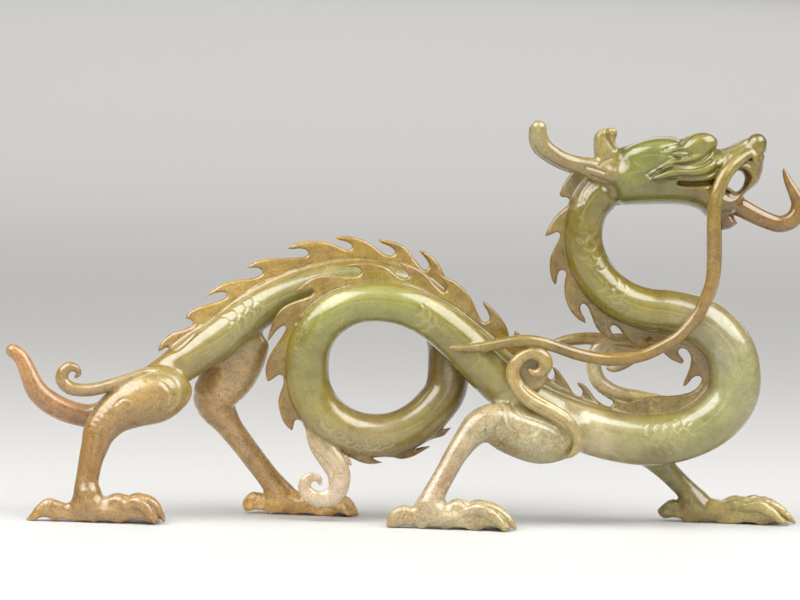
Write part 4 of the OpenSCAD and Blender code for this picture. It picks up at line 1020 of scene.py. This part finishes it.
# ---------------------------------------------------------------- colours, painted by place: node -> (u, v, r, g, b)
PAINT = {
    # the pale neck point at (686, 313) is a pale rind patch, brightened in part by a painted highlight
    "neck": [(600,200,.38,.33,.11), (583,242,.42,.37,.14), (600,285,.45,.42,.19), (650,305,.47,.43,.22), (686,313,.60,.56,.36), (700,326,.45,.43,.22)],
    "breast": [(690,314,.47,.43,.23), (730,350,.43,.43,.24), (740,380,.41,.43,.21), (700,430,.41,.43,.17), (640,440,.42,.43,.17),
        (597,438,.84,.76,.48), (588,424,.76,.70,.42), (592,450,.66,.60,.34), (560,415,.54,.48,.25), (622,430,.42,.43,.18), (650,460,.30,.28,.07)],
    "forebody": [(520,390,.48,.43,.19), (480,350,.35,.32,.10), (440,322,.36,.33,.10), (400,305,.40,.42,.15), (360,300,.41,.43,.17),
        (320,325,.38,.39,.13), (307,365,.35,.33,.10), (318,407,.40,.35,.13), (340,425,.44,.35,.15)],
    "loop_coil": [(370,435,.42,.36,.16), (420,420,.34,.29,.09), (449,370,.28,.21,.06), (445,320,.25,.18,.05)],
    "hindbody": [(400,285,.33,.28,.09), (355,280,.36,.34,.12), (300,287,.40,.35,.13), (255,312,.43,.39,.16), (225,330,.46,.41,.18),
        (195,354,.48,.38,.15), (165,375,.56,.42,.18)],
    "skull": [(620,165,.38,.34,.12), (640,160,.37,.39,.17), (660,190,.34,.32,.10), (665,145,.40,.43,.19), (695,142,.45,.38,.13),
        (708,165,.44,.40,.19), (740,150,.37,.29,.09), (758,165,.43,.27,.07), (755,140,.36,.30,.10), (745,185,.45,.28,.09)],
    "lower_jaw": [(690,200,.32,.28,.08), (715,200,.40,.34,.13), (738,200,.42,.26,.08)],
    "antler_right": [(538,130,.47,.38,.18), (575,163,.40,.29,.11), (600,170,.44,.33,.14)],
    "ear_right": [(605,140,.42,.34,.13), (607,155,.40,.34,.12)],
    "beard_curl": [(745,207,.46,.35,.14), (770,225,.38,.27,.08), (797,210,.42,.31,.13), (787,180,.48,.33,.17)],
    "chin_tuft": [(727,220,.36,.24,.08)],
    "whisker_right": [(740,158,.43,.38,.15), (714,200,.43,.35,.12), (713,250,.38,.27,.10), (705,300,.45,.31,.10), (620,358,.44,.31,.08),
        (530,342,.40,.34,.11), (460,348,.42,.33,.11)],
    "tail": [(110,412,.42,.29,.12), (60,408,.38,.24,.10), (20,355,.44,.265,.10)],
    "hindleg_right": [(150,390,.58,.44,.20), (168,380,.54,.48,.20), (181,392,.48,.43,.16), (110,415,.52,.37,.17), (95,450,.43,.27,.10), (88,490,.43,.28,.10), (170,410,.46,.32,.12)],
    "hindfoot_right": [(50,510,.52,.35,.15), (110,508,.56,.38,.17), (150,505,.54,.34,.15)],
    "hindleg_left": [(250,350,.34,.24,.09), (235,375,.42,.30,.13), (212,400,.46,.31,.13), (240,445,.54,.37,.17), (275,490,.44,.28,.10)],
    "hindfoot_left": [(255,505,.48,.31,.13), (300,508,.45,.29,.11), (345,508,.54,.36,.16)],
    "foreleg_right": [(540,435,.53,.47,.24), (533,456,.52,.46,.21), (500,425,.55,.46,.22), (450,460,.53,.41,.20), (432,495,.58,.44,.25), (560,455,.45,.37,.13)],
    "forefoot_right": [(400,515,.58,.45,.27), (450,515,.64,.51,.33), (500,515,.54,.42,.22)],
    "foreleg_left": [(640,440,.40,.40,.14), (670,480,.30,.27,.09), (690,495,.32,.26,.09)],
    "forefoot_left": [(690,512,.36,.28,.10), (740,512,.42,.34,.14), (780,515,.50,.40,.20)],
    "neck_crest": [(568,190,.40,.34,.20), (555,225,.40,.34,.17), (560,265,.32,.24,.08), (590,310,.30,.22,.06)],
    "breast_crest": [(620,325,.26,.21,.05), (690,365,.32,.24,.08), (640,400,.34,.28,.10), (600,395,.34,.27,.08), (560,385,.30,.25,.08)],
    "loop_crest": [(500,325,.34,.26,.08), (440,285,.32,.24,.07), (400,272,.36,.27,.09), (300,290,.38,.27,.09), (280,350,.36,.24,.07),
        (285,400,.38,.25,.09), (400,455,.28,.18,.05)],
    "back_crest": [(430,262,.40,.29,.10), (360,243,.42,.31,.12), (290,250,.40,.30,.11), (215,300,.48,.37,.17), (165,345,.46,.33,.13)],
    "shoulder_scroll_right": [(512,372,.53,.41,.19), (540,365,.50,.40,.17), (560,415,.55,.47,.24)],
    "shoulder_scroll_left": [(600,370,.44,.36,.19), (660,400,.44,.34,.14)],
    "hip_scroll": [(63,375,.47,.31,.10), (110,385,.50,.37,.15), (150,372,.56,.43,.19)],
    "belly_scroll": [(330,495,.66,.54,.34), (310,480,.60,.46,.26), (330,455,.58,.47,.25)],
}
for a, b in (("antler_left", "antler_right"), ("ear_left", "ear_right"), ("whisker_left", "whisker_right")):
    PAINT[a] = PAINT[b]


# how much each node's stone is toned down to sit right under the studio lights
TONE = {
    "neck": (.40, .37, .17), "breast": (.59, .56, .58), "forebody": (.56, .54, .41), "loop_coil": (.62, .58, .59),
    "hindbody": (.50, .50, .44), "skull": (.37, .39, .20), "lower_jaw": (.36, .29, .13), "antler_right": (.52, .55, .58),
    "antler_left": (.52, .55, .58), "ear_right": (.61, .61, .59), "ear_left": (.61, .61, .59), "beard_curl": (.42, .33, .15),
    "chin_tuft": (.29, .20, .20), "whisker_right": (.49, .43, .28), "whisker_left": (.62, .56, .44), "tail": (.81, .72, .76),
    "hindleg_right": (.54, .48, .40), "hindfoot_right": (.60, .57, .54), "hindleg_left": (.89, .88, .94), "hindfoot_left": (1.15, 1.12, 1.04),
    "foreleg_right": (.67, .70, .93), "forefoot_right": (.65, .70, .71), "foreleg_left": (.58, .60, .40), "forefoot_left": (.76, .79, .68),
    "neck_crest": (.48, .41, .18), "breast_crest": (.50, .40, .14), "loop_crest": (.60, .53, .19), "back_crest": (.72, .64, .36),
    "shoulder_scroll_right": (.63, .59, .53), "shoulder_scroll_left": (1.16, 1.19, 1.50), "hip_scroll": (.54, .53, .67), "belly_scroll": (.78, .79, 1.01),
}


def paint(name, u, v):
    pts = np.array(PAINT[name], float)
    pts[:, 2:] *= np.array(TONE[name])
    w = 1 / ((u[:, None] - pts[:, 0]) ** 2 + (v[:, None] - pts[:, 1]) ** 2 + 60) ** 1.3
    w /= w.sum(1, keepdims=True)
    return w @ pts[:, 2:]


# ---------------------------------------------------------------- stone material
def stone(name, base, spot, rough):
    m = bpy.data.materials.new(name)
    m.use_nodes = True
    nt = m.node_tree
    nt.nodes.clear()
    N, L = nt.nodes.new, nt.links.new

    def math_node(op, a, b=None, clamp=False):
        n = N("ShaderNodeMath")
        n.operation = op
        n.use_clamp = clamp
        for i, q in enumerate((a, b)):
            if q is None:
                continue
            if isinstance(q, (int, float)):
                n.inputs[i].default_value = q
            else:
                L(q, n.inputs[i])
        return n.outputs[0]

    def noise(scale, detail=4, rough_=0.55, distort=0.0, coord=None):
        n = N("ShaderNodeTexNoise")
        n.inputs["Scale"].default_value = scale
        n.inputs["Detail"].default_value = detail
        n.inputs["Roughness"].default_value = rough_
        n.inputs["Distortion"].default_value = distort
        L(coord or co, n.inputs["Vector"])
        return n.outputs["Fac"]

    def ramp(fac, stops):
        r = N("ShaderNodeValToRGB")
        r.color_ramp.interpolation = "EASE"
        while len(r.color_ramp.elements) < len(stops):
            r.color_ramp.elements.new(0.5)
        for e, (p, c) in zip(r.color_ramp.elements, stops):
            e.position = p
            e.color = (c, c, c, 1) if isinstance(c, (int, float)) else (*c, 1)
        L(fac, r.inputs["Fac"])
        return r.outputs["Color"]

    def mix(kind, fac, a, b):
        n = N("ShaderNodeMix")
        n.data_type = "RGBA"
        n.blend_type = kind
        if isinstance(fac, (int, float)):
            n.inputs[0].default_value = fac
        else:
            L(fac, n.inputs[0])
        for i, q in ((6, a), (7, b)):
            if isinstance(q, tuple):
                n.inputs[i].default_value = (*q, 1)
            else:
                L(q, n.inputs[i])
        return n.outputs[2]

    tc = N("ShaderNodeTexCoord")
    co = tc.outputs["Object"]
    tint = N("ShaderNodeAttribute")
    tint.attribute_name = "tint"
    tint.attribute_type = "GEOMETRY"
    colour = tint.outputs["Color"]
    # cloudy patches, mottling, grain, then brown rind and flecks
    cloud = ramp(noise(75, 4, 0.6, 0.6), [(0.32, (0.78, 0.76, 0.66)), (0.5, (1.0, 1.0, 1.0)), (0.70, (1.18, 1.22, 1.18))])
    colour = mix("MULTIPLY", 0.9, colour, cloud)
    mottle = ramp(noise(300, 5, 0.7, 0.4), [(0.34, (0.66, 0.60, 0.46)), (0.5, (1.0, 1.0, 1.0)), (0.66, (1.26, 1.24, 1.12))])
    colour = mix("MULTIPLY", 0.35 + 0.55 * spot, colour, mottle)
    grain = ramp(noise(2000, 3, 0.7), [(0.36, (0.60, 0.52, 0.40)), (0.5, (1.0, 1.0, 1.0)), (0.64, (1.26, 1.22, 1.06))])
    colour = mix("MULTIPLY", 0.22 + 0.62 * spot, colour, grain)
    rust = ramp(noise(150, 5, 0.72, 0.3), [(0.50, 0.0), (0.66, 1.0)])
    colour = mix("MIX", math_node("MULTIPLY", rust, spot * 0.8), colour, base)
    fleck = ramp(noise(1500, 3, 0.6), [(0.58, 0.0), (0.66, 1.0)])
    patch = ramp(noise(60, 2, 0.5, 0.2), [(0.40, 0.15), (0.60, 1.0)])
    colour = mix("MIX", math_node("MULTIPLY", math_node("MULTIPLY", fleck, patch), min(1.0, spot * 1.1)), colour, (0.13, 0.065, 0.02))
    vein = N("ShaderNodeTexVoronoi")
    vein.feature = "DISTANCE_TO_EDGE"
    vein.inputs["Scale"].default_value = 150
    wob = N("ShaderNodeTexNoise")
    wob.inputs["Scale"].default_value = 220
    L(co, wob.inputs["Vector"])
    L(mix("MIX", 0.012, co, wob.outputs["Color"]), vein.inputs["Vector"])
    line = ramp(vein.outputs["Distance"], [(0.0, 1.0), (0.05, 0.0)])
    thin = ramp(noise(40, 2, 0.5), [(0.50, 0.0), (0.62, 1.0)])
    colour = mix("MIX", math_node("MULTIPLY", math_node("MULTIPLY", line, thin), 0.22), colour, (0.52, 0.47, 0.28))
    b = N("ShaderNodeBsdfPrincipled")
    out = N("ShaderNodeOutputMaterial")
    L(colour, b.inputs["Base Color"])
    r = math_node("ADD", math_node("MULTIPLY", noise(260, 4, 0.6), 0.20), rough - 0.10)
    L(r, b.inputs["Roughness"])
    b.inputs["IOR"].default_value = 1.61
    b.inputs["Subsurface Weight"].default_value = 0.22
    b.inputs["Subsurface Radius"].default_value = (1.0, 0.85, 0.45)
    b.inputs["Subsurface Scale"].default_value = 0.0012
    b.inputs["Coat Weight"].default_value = 0.75
    b.inputs["Coat Roughness"].default_value = 0.10
    b.inputs["Coat IOR"].default_value = 1.5
    bump = N("ShaderNodeBump")
    bump.inputs["Strength"].default_value = 0.25
    bump.inputs["Distance"].default_value = 0.0004
    h = math_node("ADD", math_node("MULTIPLY", noise(420, 4, 0.55), 0.45), math_node("MULTIPLY", noise(1500, 3, 0.6), 0.20 + 0.3 * spot))
    h = math_node("ADD", h, math_node("MULTIPLY", noise(95, 2, 0.5), 1.6))
    h = math_node("SUBTRACT", h, math_node("MULTIPLY", math_node("MULTIPLY", fleck, patch), 0.25))
    L(h, bump.inputs["Height"])
    L(bump.outputs["Normal"], b.inputs["Normal"])
    L(b.outputs[0], out.inputs["Surface"])
    return m


MATS = {
    "green_jade": stone("green_jade", (0.26, 0.20, 0.05), 0.13, 0.24),
    "honey_jade": stone("honey_jade", (0.27, 0.155, 0.04), 0.42, 0.26),
    "russet_jade": stone("russet_jade", (0.25, 0.13, 0.035), 0.85, 0.30),
}

# ---------------------------------------------------------------- make the pieces
REPORT = []
for name in ORDER:
    n = NODES[name]
    f = n["f"]
    F, s, groove_shade, pale = whole(name)
    G = F + np.maximum(s, 0)
    pos, quads = surface(G)
    for _ in range(2):
        val = sample(G, pos)
        g = slope(G, pos)
        step = -(val / np.maximum((g * g).sum(1), 0.25 * H * H))[:, None] * g
        length = np.linalg.norm(step, axis=1)
        step *= np.minimum(1, 0.6 / np.maximum(length, 1e-9))[:, None]
        pos = pos + step
    nor = slope(F, pos, 0.8)
    nor /= np.maximum(np.linalg.norm(nor, axis=1), 1e-9)[:, None]
    past = sample(np.asarray(s), pos)
    hidden = past > 0.25
    gn = slope(G, pos, 0.8)
    gn /= np.maximum(np.linalg.norm(gn, axis=1), 1e-9)[:, None]
    nor = np.where(hidden[:, None], gn, nor)
    mm = (pos + f.i0) * H
    # colour: this node's own paint, running into its neighbours' near the joins
    u, v = to_sheet(mm[:, 0], mm[:, 2], mm[:, 1])
    tint = paint(name, u, v)
    wsum = np.ones(len(mm))
    acc = tint.copy()
    own = sample(f.a, pos)
    for o in ORDER:
        if o == name:
            continue
        g2 = NODES[o]["f"]
        q = pos + f.i0 - g2.i0
        m = ((q > 0) & (q < g2.n - 1)).all(1)
        if not m.any():
            continue
        d = sample(g2.a, q[m])
        w = np.exp(-np.maximum(d - own[m], 0) / 1.3) * (d < BIG - 1)
        mask = w > 0.02
        if not mask.any():
            continue
        idx = np.flatnonzero(m)[mask]
        acc[idx] += w[mask][:, None] * paint(o, u[idx], v[idx])
        wsum[idx] += w[mask]
    tint = acc / wsum[:, None]
    grey = tint.mean(1, keepdims=True)
    tint = np.clip(grey + (tint - grey) * 1.12, 0.006, 1) * np.array([1.02, 1.0, 0.93])
    # painted shade: the deeper engraved lines are darkened to brown, standing in for the shade inside the grooves
    groove_shade_mix = np.clip((sample(groove_shade, pos) - 0.10) / 0.55, 0, 1)[:, None] * 0.62
    tint = tint * (1 - groove_shade_mix) + groove_shade_mix * np.array([0.15, 0.10, 0.025])
    lt = np.clip(sample(pale, pos) / 0.17, 0, 1)[:, None] * 0.25
    tint = tint * (1 - lt) + lt * np.array([0.56, 0.50, 0.26])
    # painted shade: body and head are darkened toward olive-brown where the surface does not face either flank (small
    # normal y), standing in for the shade along their upper and lower edges
    if name in ("neck", "breast", "forebody", "loop_coil", "hindbody", "skull", "lower_jaw"):
        side = np.clip((0.86 - np.abs(nor[:, 1])) / 0.6, 0, 1)
        side = (side * side * (3 - 2 * side))[:, None] * 0.75
        tint = tint * (1 - side + side * np.array([0.78, 0.60, 0.30]))
    me = bpy.data.meshes.new(name + "_stone")
    me.vertices.add(len(mm))
    me.vertices.foreach_set("co", (mm / 1000).astype(np.float32).ravel())
    me.loops.add(quads.size)
    me.loops.foreach_set("vertex_index", quads.astype(np.int32).ravel())
    me.polygons.add(len(quads))
    me.polygons.foreach_set("loop_start", (np.arange(len(quads)) * 4).astype(np.int32))
    me.polygons.foreach_set("use_smooth", np.ones(len(quads), bool))
    me.update(calc_edges=True)
    me.validate()
    ca = me.color_attributes.new("tint", "FLOAT_COLOR", "POINT")
    ca.data.foreach_set("color", np.hstack([tint, np.ones((len(tint), 1))]).astype(np.float32).ravel())
    if len(me.vertices) == len(nor):
        me.normals_split_custom_set_from_vertices(nor.tolist())
    me.materials.append(MATS[n["slot"]])
    ob = bpy.data.objects.new("stone_" + name, me)
    bpy.context.scene.collection.objects.link(ob)
    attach(ob, "root")
    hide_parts(name)
    REPORT.append((name, len(quads)))
print("pieces", len(REPORT), "faces", sum(q for _, q in REPORT), "seconds", round(time.time() - T0, 1))

# ---------------------------------------------------------------- floor, light, camera
me = bpy.data.meshes.new("floor")
S = 40.0
me.from_pydata([(-S, -S, 0), (S, -S, 0), (S, S, 0), (-S, S, 0)], [], [(0, 1, 2, 3)])
floor = bpy.data.objects.new("floor", me)
bpy.context.scene.collection.objects.link(floor)
fm = bpy.data.materials.new("floor_paper")
fm.use_nodes = True
fb = fm.node_tree.nodes["Principled BSDF"]
fb.inputs["Base Color"].default_value = (0.54, 0.535, 0.525, 1)
fb.inputs["Roughness"].default_value = 0.55
me.materials.append(fm)

world = bpy.data.worlds.new("studio")
bpy.context.scene.world = world
world.use_nodes = True
bg = world.node_tree.nodes["Background"]
bg.inputs["Color"].default_value = (0.85, 0.83, 0.78, 1)
bg.inputs["Strength"].default_value = 0.30


def area(name, at, to, size, power, colour=(1, 1, 1)):
    d = bpy.data.lights.new(name, "AREA")
    d.shape = "RECTANGLE"
    d.size, d.size_y = size
    d.energy = power
    d.color = colour
    o = bpy.data.objects.new(name, d)
    bpy.context.scene.collection.objects.link(o)
    o.location = at
    o.rotation_euler = (Vector(to) - Vector(at)).to_track_quat("-Z", "Y").to_euler()


area("left_box", (-0.44, -0.30, 0.60), (-0.02, 0, 0.06), (0.74, 0.60), 7.5)
area("right_box", (0.48, -0.26, 0.60), (0.02, 0, 0.06), (0.74, 0.60), 7.5)
area("front_low", (0.0, -0.95, 0.16), (0, 0, 0.06), (0.9, 0.10), 0.6)
# evens out the paper far behind the figurine
area("far_paper", (0.0, 8.3, 0.9), (0.0, 8.3, 0.0), (4.0, 13.6), 112)
sun = bpy.data.lights.new("sky_soft", "SUN")
sun.energy = 0.85
sun.angle = math.radians(80)
sky = bpy.data.objects.new("sky_soft", sun)
bpy.context.scene.collection.objects.link(sky)
sky.rotation_euler = (math.radians(28), 0, math.radians(-12))

cam = bpy.data.cameras.new("camera")
cam.lens = 250
cam.sensor_width = 36
cam.clip_start = 0.05
cam.clip_end = 20
camera = bpy.data.objects.new("camera", cam)
bpy.context.scene.collection.objects.link(camera)
dist = cam.lens / 36 * 0.2667
el = math.radians(3.9)
# the sheet's middle (400, 300) is the middle of the view
cx, cz = PX(400, 300), PZ(400, 300)
target = Vector((cx / 1000, 0, cz / 1000))
eye = target + Vector((0, -math.cos(el), math.sin(el))) * dist
camera.location = eye
q = (target - eye).to_track_quat("-Z", "Y")
camera.rotation_euler = q.to_euler()
camera.rotation_euler.rotate_axis("Z", TURN)
bpy.context.scene.camera = camera
bpy.context.scene.view_settings.view_transform = "Standard"
